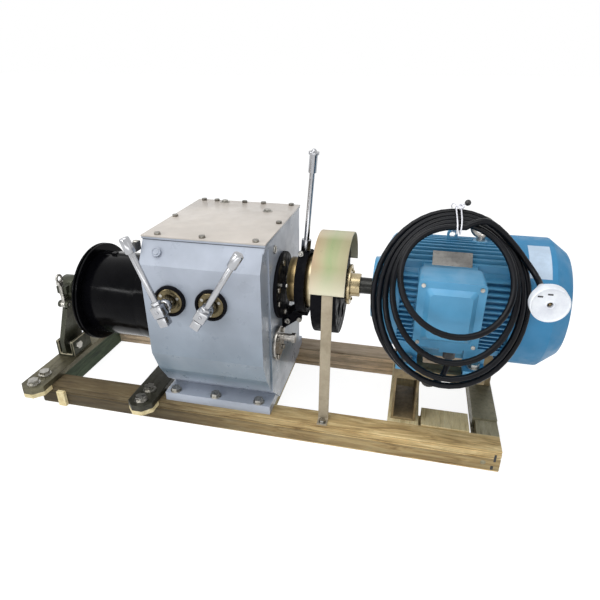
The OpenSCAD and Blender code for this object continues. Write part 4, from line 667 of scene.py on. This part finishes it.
CABLE_R = 0.006
COIL_X = 0.424
COIL_UP = Vector((0, 0.515, 0.857))
COIL_OUT = Vector((0, -0.857, 0.515))
COIL_TURNS = 4.5
COIL_START = 0.05
COIL_RINGS = 48

# The loops' half width, half height and top, each with how much the last loop is smaller or lower
COIL_HALF_W = 0.151
COIL_NARROWER = 0.056
COIL_HALF_H = 0.172
COIL_SHORTER = 0.084
COIL_TOP = 0.150
COIL_LOWER = 0.050

# How far the first loop lies out from the shafts, the step from loop to loop and the last loop's bulge
COIL_FIRST_OUT = 0.145
COIL_STEP_OUT = 0.013
COIL_BULGE = 0.050
LEAD_POINTS = [(0.436, -0.200, 0.285), (0.436, -0.200, 0.273), (0.433, -0.208, 0.258), (0.424, -0.224, 0.247),
               (0.410, -0.242, 0.245), (0.396, -0.256, 0.252)]
TAIL_POINTS = [(0.450, -0.163, 0.554), (0.474, -0.158, 0.557), (0.503, -0.153, 0.538), (0.532, -0.152, 0.510),
               (0.553, -0.156, 0.486), (0.568, -0.168, 0.469), (0.575, -0.186, 0.460), (0.576, -0.200, 0.457),
               (0.576, -0.213, 0.457)]
CABLE_STEPS = 6


def coil_point(turn):
    """Point of the coil after some loops, counted from the bottom toward the drum side."""
    share = turn / COIL_TURNS
    angle = math.radians(-90 - 360 * turn)
    half_w = COIL_HALF_W - COIL_NARROWER * share
    half_h = COIL_HALF_H - COIL_SHORTER * share * share
    up = COIL_TOP - COIL_LOWER * share - half_h + half_h * math.sin(angle)
    bulge = COIL_BULGE * max(0, share * 2.5 - 1.5) ** 1.5 * (1 - math.sin(angle)) / 2
    out = COIL_FIRST_OUT + COIL_STEP_OUT * turn + bulge
    return Vector((COIL_X + half_w * math.cos(angle), AXIS_Y, SHAFT_Z)) + up * COIL_UP + out * COIL_OUT


def smooth_through(points, steps):
    """A smooth line through given points whose first and last stretches stay straight."""
    inner = points[1:-1]
    line = [points[0]]
    for i in range(len(inner) - 1):
        a, b, c, d = inner[max(i - 1, 0)], inner[i], inner[i + 1], inner[min(i + 2, len(inner) - 1)]
        for step in range(steps):
            t = step / steps
            line.append(0.5 * (2 * b + (c - a) * t + (2 * a - 5 * b + 4 * c - d) * t * t
                               + (3 * b - a - 3 * c + d) * t * t * t))
    return line + [inner[-1], points[-1]]


def cable_route():
    """From the gland down, through the coil's loops and on to the plug."""
    steps = round((COIL_TURNS - COIL_START) * COIL_RINGS)
    coil = [coil_point(COIL_START + (COIL_TURNS - COIL_START) * i / steps) for i in range(steps + 1)]
    into = (coil[1] - coil[0]).normalized()
    out_of = (coil[-1] - coil[-2]).normalized()
    lead = [Vector(p) for p in LEAD_POINTS] + [coil[0] - 2 * CABLE_R * into, coil[0]]
    tail = [coil[-1], coil[-1] + 2 * CABLE_R * out_of] + [Vector(p) for p in TAIL_POINTS]
    return smooth_through(lead, CABLE_STEPS)[:-1] + coil + smooth_through(tail, CABLE_STEPS)[1:]


route = cable_route()
cable = settle(tube_along("power_cable", route, CABLE_R), "skid", "cable_rubber",
               "cable_coil", "cable_lead", "cable_tail")


# Rails: boards and plies on top of each other, some standing back a little

# Each board's foot and top as shares of the rail's height, and how far it stands back
FRONT_BOARDS = ((0, 0.05, 0.4), (0.05, 0.6, 0), (0.6, 0.64, 0.6), (0.64, 0.68, 2.2), (0.68, 0.86, 0),
                (0.86, 0.9, 0.5), (0.9, 0.93, 1.0), (0.93, 1, 0.3))
BACK_BOARDS = ((0, 0.16, 0.5), (0.16, 0.24, 1.2), (0.24, 0.42, 0), (0.42, 0.7, 0.8), (0.7, 0.9, 0.2),
               (0.9, 1, 0))
BOARD_EDGE = 0.7


def plied_rail(name, node, finish, boards):
    low, high = corners(node)
    height = high[2] - low[2]
    layers = []
    for foot, top, inset in boards:
        layer_low = (low[0] + inset, low[1] + inset, low[2] + foot * height)
        layer_high = (high[0] - inset, high[1] - inset, low[2] + top * height)
        layers.append(slab(name, layer_low, layer_high, edge=BOARD_EDGE))
    settle(joined(name, layers), "skid", "timber", node, finish=finish)


plied_rail("front_rail_boards", "front_rail", "front_plies", FRONT_BOARDS)
plied_rail("back_rail_boards", "back_rail", "back_plies", BACK_BOARDS)

RAIL_END_X = corners("front_rail")[1][0]
RAIL_FRONT_Y = corners("front_rail")[0][1]

# Gaps in the front rail's face: how far in from its end, width, foot and top
END_GAPS = ((10, 5, 27, 47), (13, 6, 4, 15))
GAP_PROUD = 0.3
GAP_DEPTH = 2
KNOT_RINGS = ((6, -1), (6, 0.2), (4.6, 0.5), (3.4, 0.2), (2.2, 0.5))
KNOT_IN = 36
KNOT_Z = 22


def end_gap_shades():
    """Two black slabs as painted shade in the gaps where the front rail's boards meet its end, and a knot."""
    gaps = []
    for inset, width, low, high in END_GAPS:
        gap_low = (RAIL_END_X - inset - width, RAIL_FRONT_Y - GAP_PROUD, low)
        gap_high = (RAIL_END_X - inset, RAIL_FRONT_Y + GAP_DEPTH, high)
        gaps.append(slab("end_gap_shades", gap_low, gap_high, edge=0.2))
    # Painted shade: black slabs standing in for the shade inside the gaps
    settle(joined("end_gap_shades", gaps), "skid", "timber", finish="gland_plastic")
    knot = turned("rail_knot", KNOT_RINGS, sides=24, edge=0.1)
    knot = aim(knot, (RAIL_END_X - KNOT_IN, RAIL_FRONT_Y, KNOT_Z), FRONT)
    settle(knot, "skid", "timber", finish="grey_timber")


end_gap_shades()


# Gearbox: cover, collars, levers, plugs and the block at its corner

COVER_T = 3.6
COVER_STEP = 0.8


def cover_plate():
    """The bare plate on the cover's painted flange, which stands back a step all round."""
    low, high = corners("top_cover")
    middle = high[2] - COVER_T
    plate = slab("cover_plate", (low[0], low[1], middle), high, edge=0.8)
    settle(plate, "skid", "cover_paint", "top_cover")
    flange_low = (low[0] + COVER_STEP, low[1] + COVER_STEP, low[2])
    flange_high = (high[0] - COVER_STEP, high[1] - COVER_STEP, middle)
    settle(slab("cover_flange", flange_low, flange_high, edge=0.6), "skid", "gearbox_paint")


cover_plate()

SHIFT_XS = (-152, -58)
SHIFT_Z = 360
COLLAR_FACE_Y = -224.5
COLLAR_T = 9.5
COLLAR_RIM = ((35, 0), (35, COLLAR_T), (30.5, COLLAR_T), (29.5, 5))
COLLAR_PLATE = ((29, 3), (29, 6.6), (26.5, 8), (17, 8), (16, 6.4), (11, 6.4))
COLLAR_SCREW = ((3.4, 7), (3.4, 9.6), (1.8, 9.6), (1.7, 8.2))
COLLAR_SCREW_OUT = 22.0
COLLAR_SCREW_TURNS = (25, 145, 265)


def collars():
    """Each shift shaft comes out through a black ring round a bronze plate with three small screws."""
    rims, plates, screws = [], [], []
    for x in SHIFT_XS:
        place = (x, COLLAR_FACE_Y, SHIFT_Z)
        rims.append(aim(turned("collar_rims", COLLAR_RIM), place, FRONT))
        plates.append(aim(turned("collar_plates", COLLAR_PLATE), place, FRONT))
        for turn in COLLAR_SCREW_TURNS:
            screw_x = x + COLLAR_SCREW_OUT * math.cos(math.radians(turn))
            screw_z = SHIFT_Z + COLLAR_SCREW_OUT * math.sin(math.radians(turn))
            screw = turned("collar_screws", COLLAR_SCREW, sides=16, edge=0.2)
            screws.append(aim(screw, (screw_x, COLLAR_FACE_Y, screw_z), FRONT))
    settle(joined("collar_rims", rims), "skid", "black_steel", "shift_collars")
    settle(joined("collar_plates", plates), "skid", "bronze")
    settle(joined("collar_screws", screws), "skid", "bolt_steel")


collars()

# Shift levers: their line in front of the collars, the length from the hub's middle, half of the hub's width
SHIFT_ROD_Y = -275.3
SHIFT_LEN = 164
SHIFT_HUB = 13.0
SHIFT_TAIL = ((-10.5, -12, -35), (10.5, 10, -SHIFT_HUB - 0.6))
SHIFT_GRIP_FROM = SHIFT_LEN - 34
SHIFT_NUT = ((11, SHIFT_HUB), (11, SHIFT_HUB + 7), (8, SHIFT_HUB + 8))
SHIFT_ROD = ((6.5, SHIFT_HUB), (6.5, SHIFT_GRIP_FROM))
SHIFT_GRIP = ((9.2, SHIFT_GRIP_FROM), (10.5, SHIFT_LEN - 32), (10.5, SHIFT_LEN - 3), (9, SHIFT_LEN - 0.8),
              (5.5, SHIFT_LEN))
SHAFT_END_Y = COLLAR_FACE_Y + 10
SPACER = ((14, 0), (14, 20), (12, 24))
SPACER_FROM_Y = COLLAR_FACE_Y - COLLAR_T - 0.4
FACE_SCREW = ((4, 0), (4, 2.4), (2, 2.4), (1.9, 1))


def shift_lever(side, x, lean):
    """A forged hub on the shift shaft with a smaller block below it, and a plated rod with a grip above."""
    half = SHIFT_HUB
    name = side + "_lever_forging"
    lever = joined(name, [
        slab("hub", (-half, -half, -half), (half, half, half), edge=3.0),
        slab("tail", *SHIFT_TAIL, edge=3.0),
        turned("nut", SHIFT_NUT, sides=6, edge=0.8),
        turned("rod", SHIFT_ROD, sides=32),
        turned("grip", SHIFT_GRIP, sides=40, edge=0.6),
    ])
    lever.rotation_euler = (0, math.radians(lean), 0)
    lever.location = Vector((x, SHIFT_ROD_Y, SHIFT_Z)) * MM
    set_in_mesh(lever)
    shaft_line = ((9, 0), (9, SHAFT_END_Y - SHIFT_ROD_Y))
    shaft = aim(turned("shaft", shaft_line), (x, SHAFT_END_Y, SHIFT_Z), FRONT)
    spacer = aim(turned("spacer", SPACER), (x, SPACER_FROM_Y, SHIFT_Z), FRONT)
    screw = aim(turned("face_screw", FACE_SCREW), (x, SHIFT_ROD_Y - half, SHIFT_Z), FRONT)
    settle(joined(name, [lever, shaft, spacer, screw]), side + "_lever", "chrome", side + "_shift_lever")


shift_lever("left", SHIFT_XS[0], -20.5)
shift_lever("right", SHIFT_XS[1], 32)

STUD_AT = (61, -131, 377)
STUD = ((4, 0), (4, 22), (3.2, 23))
STUD_NUT = ((8.5, 12), (8.5, 19), (7, 19.6))


def flange_stud():
    """A stud with a black nut in the input flange's front edge."""
    stud = turned("flange_stud", STUD, sides=24)
    settle(aim(stud, STUD_AT, RIGHT), "skid", "bolt_steel")
    nut = turned("flange_nut", STUD_NUT, sides=6, edge=0.8)
    settle(aim(nut, STUD_AT, RIGHT), "skid", "black_steel")


flange_stud()

COVER_TOP = corners("top_cover")[1][2]
COVER_PLUGS_AT = ((-8, 37), (-140, 96))
COVER_WASHER = ((12, 0), (12, 1.6), (8, 1.6))
COVER_HEX = ((8.4, 1.6), (8.4, 5), (7.4, 5.8), (3, 6))
SLOPE_PLUG_AT = (-178, -212.5, 463.5)
SLOPE_OUT = (0, -0.87, 0.5)
SLOPE_PLUG = ((10, -1), (10, 2.2), (9, 3), (8.2, 3), (7.8, 1.6), (6.2, 1.6), (5.8, 2.8), (5, 3))
WALL_PLUG_AT = (54, -127, 458)
WALL_PLUG_RIM = ((9, 0), (9, 3), (7.6, 4), (7.2, 2.6))
WALL_PLUG_CORE = ((7.1, 1), (7.1, 2.2), (5, 2.4), (4.6, 1.4))


def oil_plugs():
    """Bright hex plugs on washers on the cover, a painted plug on the slope and a dark one in the wall."""
    silver = []
    for x, y in COVER_PLUGS_AT:
        plug_parts = [turned("washer", COVER_WASHER, sides=40), turned("hex", COVER_HEX, sides=6, edge=0.5)]
        silver.append(aim(joined("cover_plugs", plug_parts), (x, y, COVER_TOP), UP))
    settle(joined("cover_plugs", silver), "skid", "bolt_steel", "oil_plugs")
    painted = turned("slope_plug", SLOPE_PLUG, sides=40)
    settle(aim(painted, SLOPE_PLUG_AT, SLOPE_OUT), "skid", "gearbox_paint")
    rim = turned("wall_plug_rim", WALL_PLUG_RIM, sides=40)
    settle(aim(rim, WALL_PLUG_AT, RIGHT), "skid", "bolt_steel")
    core = turned("wall_plug_core", WALL_PLUG_CORE, sides=6, edge=0.3)
    settle(aim(core, WALL_PLUG_AT, RIGHT), "skid", "black_steel")


oil_plugs()

TERMINAL_LOW = (-230, -220, 462)
TERMINAL_HIGH = (-220, -198, 482)
TERMINAL_HEAD_AT = (-225, -209, 482)
TERMINAL_HEAD = ((6.4, 0), (6.4, 1.2), (5.4, 2.2), (2.6, 2.8))


def terminal_block():
    """A black block at the cover's front left corner, with a bright round head on top."""
    settle(slab("terminal_block", TERMINAL_LOW, TERMINAL_HIGH, edge=1.6), "skid", "gland_plastic")
    head = turned("terminal_head", TERMINAL_HEAD, sides=32)
    settle(aim(head, TERMINAL_HEAD_AT, UP), "skid", "bolt_steel")


terminal_block()


# Clutch side: the guard's leg and the bright screws

# The leg's line from its foot up, as y and z
LEG_LINE = ((-194.6, 59), (-186, 59), (-176, 59.4), (-172.6, 62), (-171.6, 70), (-170, 120), (-160.6, 375.4))
LEG_T = 3
LEG_COLUMNS = 4


def guard_leg():
    """A bent strip from its foot on the front rail up to the guard's lower edge."""
    rows = len(LEG_LINE) - 1
    low_x, high_x = corners("guard_leg")[0][0], corners("guard_leg")[1][0]

    def place_of(across, up):
        return (low_x + (high_x - low_x) * across, *LEG_LINE[round(up * rows)])

    strip = sheet("guard_leg_strip", LEG_COLUMNS, rows, LEG_T, 0, place_of)
    settle(soften(strip, 0.4), "skid", "guard_zinc", "guard_leg", finish="leg_zinc")


guard_leg()

BRACKET_FRONT_Y = corners("fork_bracket")[0][1]

# Heads in the bracket's front: x, z and radius
BRACKET_HEADS = ((59, 277, 3.6), (67, 258, 7), (97, 265, 6.4))


def bracket_screws():
    """The bright heads in the front of the fork's bracket."""
    heads = []
    for x, z, radius in BRACKET_HEADS:
        line = ((radius, -1), (radius, 3), (radius - 1.2, 4), (radius / 2, 4), (radius / 2 - 0.3, 2.6))
        heads.append(aim(turned("bracket_screws", line, sides=24), (x, BRACKET_FRONT_Y, z), FRONT))
    settle(joined("bracket_screws", heads), "skid", "bolt_steel")


bracket_screws()

CLAMP_SCREW_AT = (100, -66, 431)
CLAMP_SCREW = ((6.5, 0), (6.5, 7), (3.2, 7), (3.1, 4))


def clamp_screw():
    """The bright screw that draws the fork's clamp together at the lever's foot."""
    screw = turned("clamp_screw", CLAMP_SCREW, sides=24, edge=0.5)
    settle(aim(screw, CLAMP_SCREW_AT, FRONT), "fork", "bolt_steel")


clamp_screw()


# Drum: its seam, the rim's screws and the bearing bolt's thread

MIDDLE_Y = AXIS_Y / MM
DRUM_MIDDLE_Z = DRUM_Z / MM
DRUM_SEAM_X = -298
BARREL_R = 108
SEAM_R = 0.8
SEAM_SPREAD = 1.6


def drum_seam():
    """The welded seam where the barrel widens."""
    start()
    bpy.ops.mesh.primitive_torus_add(major_radius=BARREL_R * MM, minor_radius=SEAM_R * MM, major_segments=96,
                                     minor_segments=8)
    ring = bpy.context.object
    ring.name = "drum_seam"
    edit_all()
    bpy.ops.transform.resize(value=(1, 1, SEAM_SPREAD), center_override=(0, 0, 0))
    bpy.ops.object.mode_set(mode="OBJECT")
    soften(ring, 0)
    settle(aim(ring, (DRUM_SEAM_X, MIDDLE_Y, DRUM_MIDDLE_Z), RIGHT), "drum", "drum_black")


drum_seam()

RIM_SCREWS = 12
RIM_SCREW_FIRST = 15
RIM_SCREW_OUT = 117.0
RIM_SCREW_IN = 10
RIM_SCREW = ((3.6, 0), (3.6, 2.4), (1.9, 2.4), (1.8, 1))


def rim_screws():
    """Small socket screws round the rim's outer face."""
    face_x = corners("drum_flange")[0][0] + RIM_SCREW_IN
    screws = []
    for step in range(RIM_SCREWS):
        angle = math.radians(RIM_SCREW_FIRST + step * 360 / RIM_SCREWS)
        y = MIDDLE_Y + RIM_SCREW_OUT * math.cos(angle)
        z = DRUM_MIDDLE_Z + RIM_SCREW_OUT * math.sin(angle)
        screws.append(aim(turned("rim_screws", RIM_SCREW, sides=16, edge=0.3), (face_x, y, z), LEFT))
    settle(joined("rim_screws", screws), "drum", "bolt_steel")


rim_screws()

BOLT_AT = (-540, -86, 0)
THREAD_FOOT = 254
THREAD_TURNS = 25
THREAD_PITCH = 1.75


def swing_bolt_thread():
    """The bolt's thread between the bearing's lug and its nut."""
    ridges = []
    for step in range(THREAD_TURNS):
        rise = THREAD_FOOT + step * THREAD_PITCH
        ridge = ((4.9, rise), (5.4, rise + 0.6), (5.4, rise + 0.9), (4.9, rise + 1.5))
        ridges.append(turned("swing_bolt_thread", ridge, sides=24, edge=0))
    settle(aim(joined("swing_bolt_thread", ridges), BOLT_AT, UP), "latch", "bolt_steel")


swing_bolt_thread()


# Motor: the web under it, its plate and the cowl's label

MOTOR_MIDDLE_Z = SHAFT_Z / MM
WEB_X = (386, 502)
WEB_Y = (-66, -54)
WEB_BELOW = 20
WEB_ABOVE = 22


def motor_web():
    """The cast web under the frame, between the motor's feet."""
    foot = corners("motor_frame")[0][2]
    web_low = (WEB_X[0], WEB_Y[0], foot - WEB_BELOW)
    web_high = (WEB_X[1], WEB_Y[1], foot + WEB_ABOVE)
    settle(slab("motor_web", web_low, web_high, edge=3), "skid", "motor_blue")


motor_web()

# Nameplate: its middle along the motor and round the fins, its distance from the shaft, and its sizes
PLATE_X = 425
PLATE_TURN = math.radians(55)
PLATE_OUT = 128.4
PLATE_HALF_W = 39
PLATE_HALF_H = 21
PLATE_T = 1.6
PLATE_FRAME = 2.2
PLATE_SUNK = 0.5
RIVET = ((2, 1), (2, 1.7), (1.2, 2.2))
RIVET_IN = 5


def nameplate():
    """A bare framed plate riveted on the fins."""
    face = (0, -math.cos(PLATE_TURN), math.sin(PLATE_TURN))
    place = (PLATE_X, MIDDLE_Y + PLATE_OUT * face[1], MOTOR_MIDDLE_Z + PLATE_OUT * face[2])
    plate = block("nameplate", (-PLATE_HALF_W, -PLATE_HALF_H, 0), (PLATE_HALF_W, PLATE_HALF_H, PLATE_T))
    for polygon in plate.data.polygons:
        polygon.select = polygon.normal.z > 0.9
    bpy.ops.object.mode_set(mode="EDIT")
    bpy.ops.mesh.select_mode(type="FACE")
    bpy.ops.mesh.inset(thickness=PLATE_FRAME * MM, depth=0)
    bpy.ops.mesh.extrude_region_move(TRANSFORM_OT_translate={"value": (0, 0, -PLATE_SUNK * MM)})
    bpy.ops.object.mode_set(mode="OBJECT")
    set_in_mesh(plate)
    soften(plate, 0.3)
    rivets = []
    for x in (-1, 1):
        for y in (-1, 1):
            rivet_at = (x * (PLATE_HALF_W - RIVET_IN), y * (PLATE_HALF_H - RIVET_IN), 0)
            rivets.append(aim(turned("rivet", RIVET, sides=16, edge=0.2), rivet_at, UP))
    plate = aim(joined("nameplate", [plate] + rivets), place, face)
    settle(plate, "skid", "motor_blue", finish="plate_metal")


nameplate()

# Label: its ends along the cowl, how far round it goes in degrees, and its distance from the shaft
LABEL_X = (569, 610)
LABEL_TURN = (42, 77)
LABEL_R = 138.15
LABEL_T = 0.25
LABEL_GRID = (6, 14)


def cowl_label():
    """A plain bare label that lies round the cowl."""
    def place_of(across, up):
        angle = math.radians(LABEL_TURN[0] + (LABEL_TURN[1] - LABEL_TURN[0]) * up)
        x = LABEL_X[0] + (LABEL_X[1] - LABEL_X[0]) * across
        return (x, MIDDLE_Y - LABEL_R * math.cos(angle), MOTOR_MIDDLE_Z + LABEL_R * math.sin(angle))

    label = sheet("cowl_label", *LABEL_GRID, LABEL_T, 1, place_of)
    settle(soften(label, 0), "skid", "motor_blue", finish="label_vinyl")


cowl_label()


# Plug on the cable's end: a white round face in a raised rim, with a contact in its middle

PLUG_AT = (576, -213, 457)
PLUG_SHELL = ((9, 0), (9, 7), (10.5, 8), (10.5, 10), (9.5, 11), (10.5, 20), (19, 24), (22, 34), (29, 50),
              (32, 54), (32, 71), (31, 72), (29.4, 72), (28.8, 70.4), (8, 70.4), (7.4, 71.6), (5.2, 71.6),
              (5.0, 61))
PLUG_CONTACT = ((4.2, 60), (4.2, 64), (2.6, 64.5), (2.6, 68), (1.4, 69))
PLUG_FACE = 69.8
# Black slabs as painted shade in the face's two slots: their corners, and their places
PLUG_SLOT_SHADE = ((-4.2, -1.5, 0), (4.2, 1.5, 1.0))
PLUG_SLOT_SHADES_AT = ((-3, 19), (-18, 14))


def plug():
    """The shell, the contact and two black slabs in the face's slots, as painted shade in the slots."""
    shell = turned("plug_shell", PLUG_SHELL, sides=64, edge=0.5)
    shell = settle(aim(shell, PLUG_AT, FRONT), "skid", "plug_plastic", "cable_plug")
    contact = turned("plug_contact", PLUG_CONTACT, sides=24, edge=0.3)
    contact = settle(aim(contact, PLUG_AT, FRONT), "skid", "bolt_steel", finish="brass")
    slot_shades = []
    for x, z in PLUG_SLOT_SHADES_AT:
        slot_shade = slab("plug_slot_shades", *PLUG_SLOT_SHADE, edge=0.4)
        slot_shades.append(aim(slot_shade, (x, z, PLUG_FACE), UP))
    slot_shades = settle(aim(joined("plug_slot_shades", slot_shades), PLUG_AT, FRONT), "skid", "gland_plastic")
    return [shell, contact, slot_shades]


plug_pieces = plug()


# Tie: two white strands from the lug round the coil's top, with a knot and a dark bead

TIE_X = 424
TIE_STEPS = 4
STRAND_R = 1.4
STRAND_APART = 2.2

# The strands' loop as y and z, and above this height they spread
TIE_LOOP = ((-44, 498), (-70, 518), (-100, 536), (-140, 536), (-170, 534), (-177, 540), (-173, 551),
            (-156, 558), (-130, 562), (-104, 566), (-90, 564), (-82, 552), (-66, 528), (-48, 506), (-44, 498))
SPREAD_FROM = 530
SPREAD_OVER = 36
STRAND_SPREAD = 2.6

# The knot and its two loose ends: radius, and points with x counted from the tie's middle
TIE_KNOT = (2.0, ((3, -112, 566), (-1, -106, 570), (4, -100, 572), (9, -104, 569), (5, -110, 567),
                  (1, -102, 570), (7, -96, 571)))
TIE_CURL = (1.2, ((-2, -104, 567), (-6, -102, 572), (-11, -98, 573), (-14, -96, 568), (-12, -95, 563)))
TIE_END = (1.2, ((6, -100, 570), (10, -96, 572), (14, -92, 571), (17, -90, 569)))
BEAD = ((1.5, -6), (3.8, -5), (5.6, -2.6), (6, 0), (5.6, 2.6), (3.8, 5), (1.5, 6))
BEAD_AT = (TIE_X + 17, -92, 574)
BEAD_LEAN = (1, 0, 0.6)


def strand(name, points, radius):
    """One bent strand of the tie, through points in millimetres."""
    line = smooth_through([Vector(point) * MM for point in points], TIE_STEPS)
    return tube_along(name, line, radius * MM, roundness=2)


def tie():
    """Strands, knot and loose ends as one piece, and the bead on one of the ends."""
    strands = []
    for side in (-1, 1):
        loop = []
        for y, z in TIE_LOOP:
            apart = STRAND_APART + STRAND_SPREAD * max(0, (z - SPREAD_FROM) / SPREAD_OVER)
            loop.append((TIE_X + side * apart, y, z))
        strands.append(strand("coil_tie_strands", loop, STRAND_R))
    for radius, line in (TIE_KNOT, TIE_CURL, TIE_END):
        strands.append(strand("tie_knot", [(TIE_X + x, y, z) for x, y, z in line], radius))
    strands = settle(joined("coil_tie_strands", strands), "skid", "tie_plastic", "coil_tie")
    bead = settle(aim(turned("tie_bead", BEAD, sides=24), BEAD_AT, BEAD_LEAN), "skid", "gland_plastic")
    return [strands, bead]


tie_pieces = tie()


# Floor, backdrop and lights

FLOOR_PAPER = grey(0.8)
FLOOR_SHADOW = grey(0.34)
FLOOR_GLOW = 0.89
FLOOR_ACROSS = 60
FLOOR_Z = -0.0005
ROOM_TINT = (0.93, 0.96, 1)
ROOM_LIGHT = 0.44

# Lamps: name, place, what it looks at, width and height in metres, power in watts
LAMPS = (
    ("overhead_softbox", (-0.3, -0.7, 2.2), (0, 0, 0.2), (2.2, 1.4), 31),
    ("front_window", (-1.6, -1.9, 1.2), (-0.3, 0, 0.3), (1.8, 0.17), 16),
    ("right_fill", (2.2, -1.2, 1.2), (0.2, 0, 0.3), (1.2, 1.4), 2),
    ("low_front", (0.4, -2.2, 0.25), (0.2, 0, 0.1), (2.4, 0.5), 7),
)


def background_rays(nodes, links):
    """One where the camera looks, and where metal and glass mirror what the camera would see."""
    rays = nodes.new("ShaderNodeLightPath")
    total = rays.outputs["Is Camera Ray"]
    for name in ("Is Glossy Ray", "Is Transmission Ray"):
        both = nodes.new("ShaderNodeMath")
        both.operation = "MAXIMUM"
        links.new(total, both.inputs[0])
        links.new(rays.outputs[name], both.inputs[1])
        total = both.outputs["Value"]
    return total


def make_floor():
    """A pale floor that shows white and keeps the winch's soft shadow."""
    start()
    bpy.ops.mesh.primitive_plane_add(size=FLOOR_ACROSS, location=(0, 0, FLOOR_Z))
    floor = bpy.context.object
    floor.name = "studio_floor"
    material = bpy.data.materials.new("floor_paper")
    material.use_nodes = True
    nodes, links = material.node_tree.nodes, material.node_tree.links
    output = nodes["Material Output"]
    paper = nodes["Principled BSDF"]
    paper.inputs["Base Color"].default_value = (*FLOOR_PAPER, 1)
    paper.inputs["Roughness"].default_value = 0.9
    shadow = nodes.new("ShaderNodeBsdfDiffuse")
    shadow.inputs["Color"].default_value = (*FLOOR_SHADOW, 1)
    glow = nodes.new("ShaderNodeEmission")
    glow.inputs["Strength"].default_value = FLOOR_GLOW
    both = nodes.new("ShaderNodeAddShader")
    choose = nodes.new("ShaderNodeMixShader")
    links.new(shadow.outputs[0], both.inputs[0])
    links.new(glow.outputs[0], both.inputs[1])
    links.new(background_rays(nodes, links), choose.inputs["Fac"])
    links.new(paper.outputs[0], choose.inputs[1])
    links.new(both.outputs[0], choose.inputs[2])
    links.new(choose.outputs[0], output.inputs["Surface"])
    floor.data.materials.append(material)


def make_lamp(name, place, target, size, power):
    data = bpy.data.lights.new(name, "AREA")
    data.shape = "RECTANGLE"
    data.size, data.size_y = size
    data.energy = power
    lamp = bpy.data.objects.new(name, data)
    bpy.context.scene.collection.objects.link(lamp)
    lamp.location = place
    lamp.rotation_euler = (Vector(target) - Vector(place)).to_track_quat("-Z", "Y").to_euler()


def make_world():
    """Soft light from all round that shows white to the camera."""
    world = bpy.data.worlds.new("studio")
    bpy.context.scene.world = world
    world.use_nodes = True
    nodes, links = world.node_tree.nodes, world.node_tree.links
    room = nodes["Background"]
    room.inputs["Color"].default_value = (*ROOM_TINT, 1)
    room.inputs["Strength"].default_value = ROOM_LIGHT
    white = nodes.new("ShaderNodeBackground")
    white.inputs["Color"].default_value = (1, 1, 1, 1)
    white.inputs["Strength"].default_value = 1.0
    choose = nodes.new("ShaderNodeMixShader")
    links.new(background_rays(nodes, links), choose.inputs["Fac"])
    links.new(room.outputs[0], choose.inputs[1])
    links.new(white.outputs[0], choose.inputs[2])
    links.new(choose.outputs[0], nodes["World Output"].inputs["Surface"])


make_floor()
make_world()
for lamp in LAMPS:
    make_lamp(*lamp)

bpy.context.scene.view_settings.view_transform = "Standard"
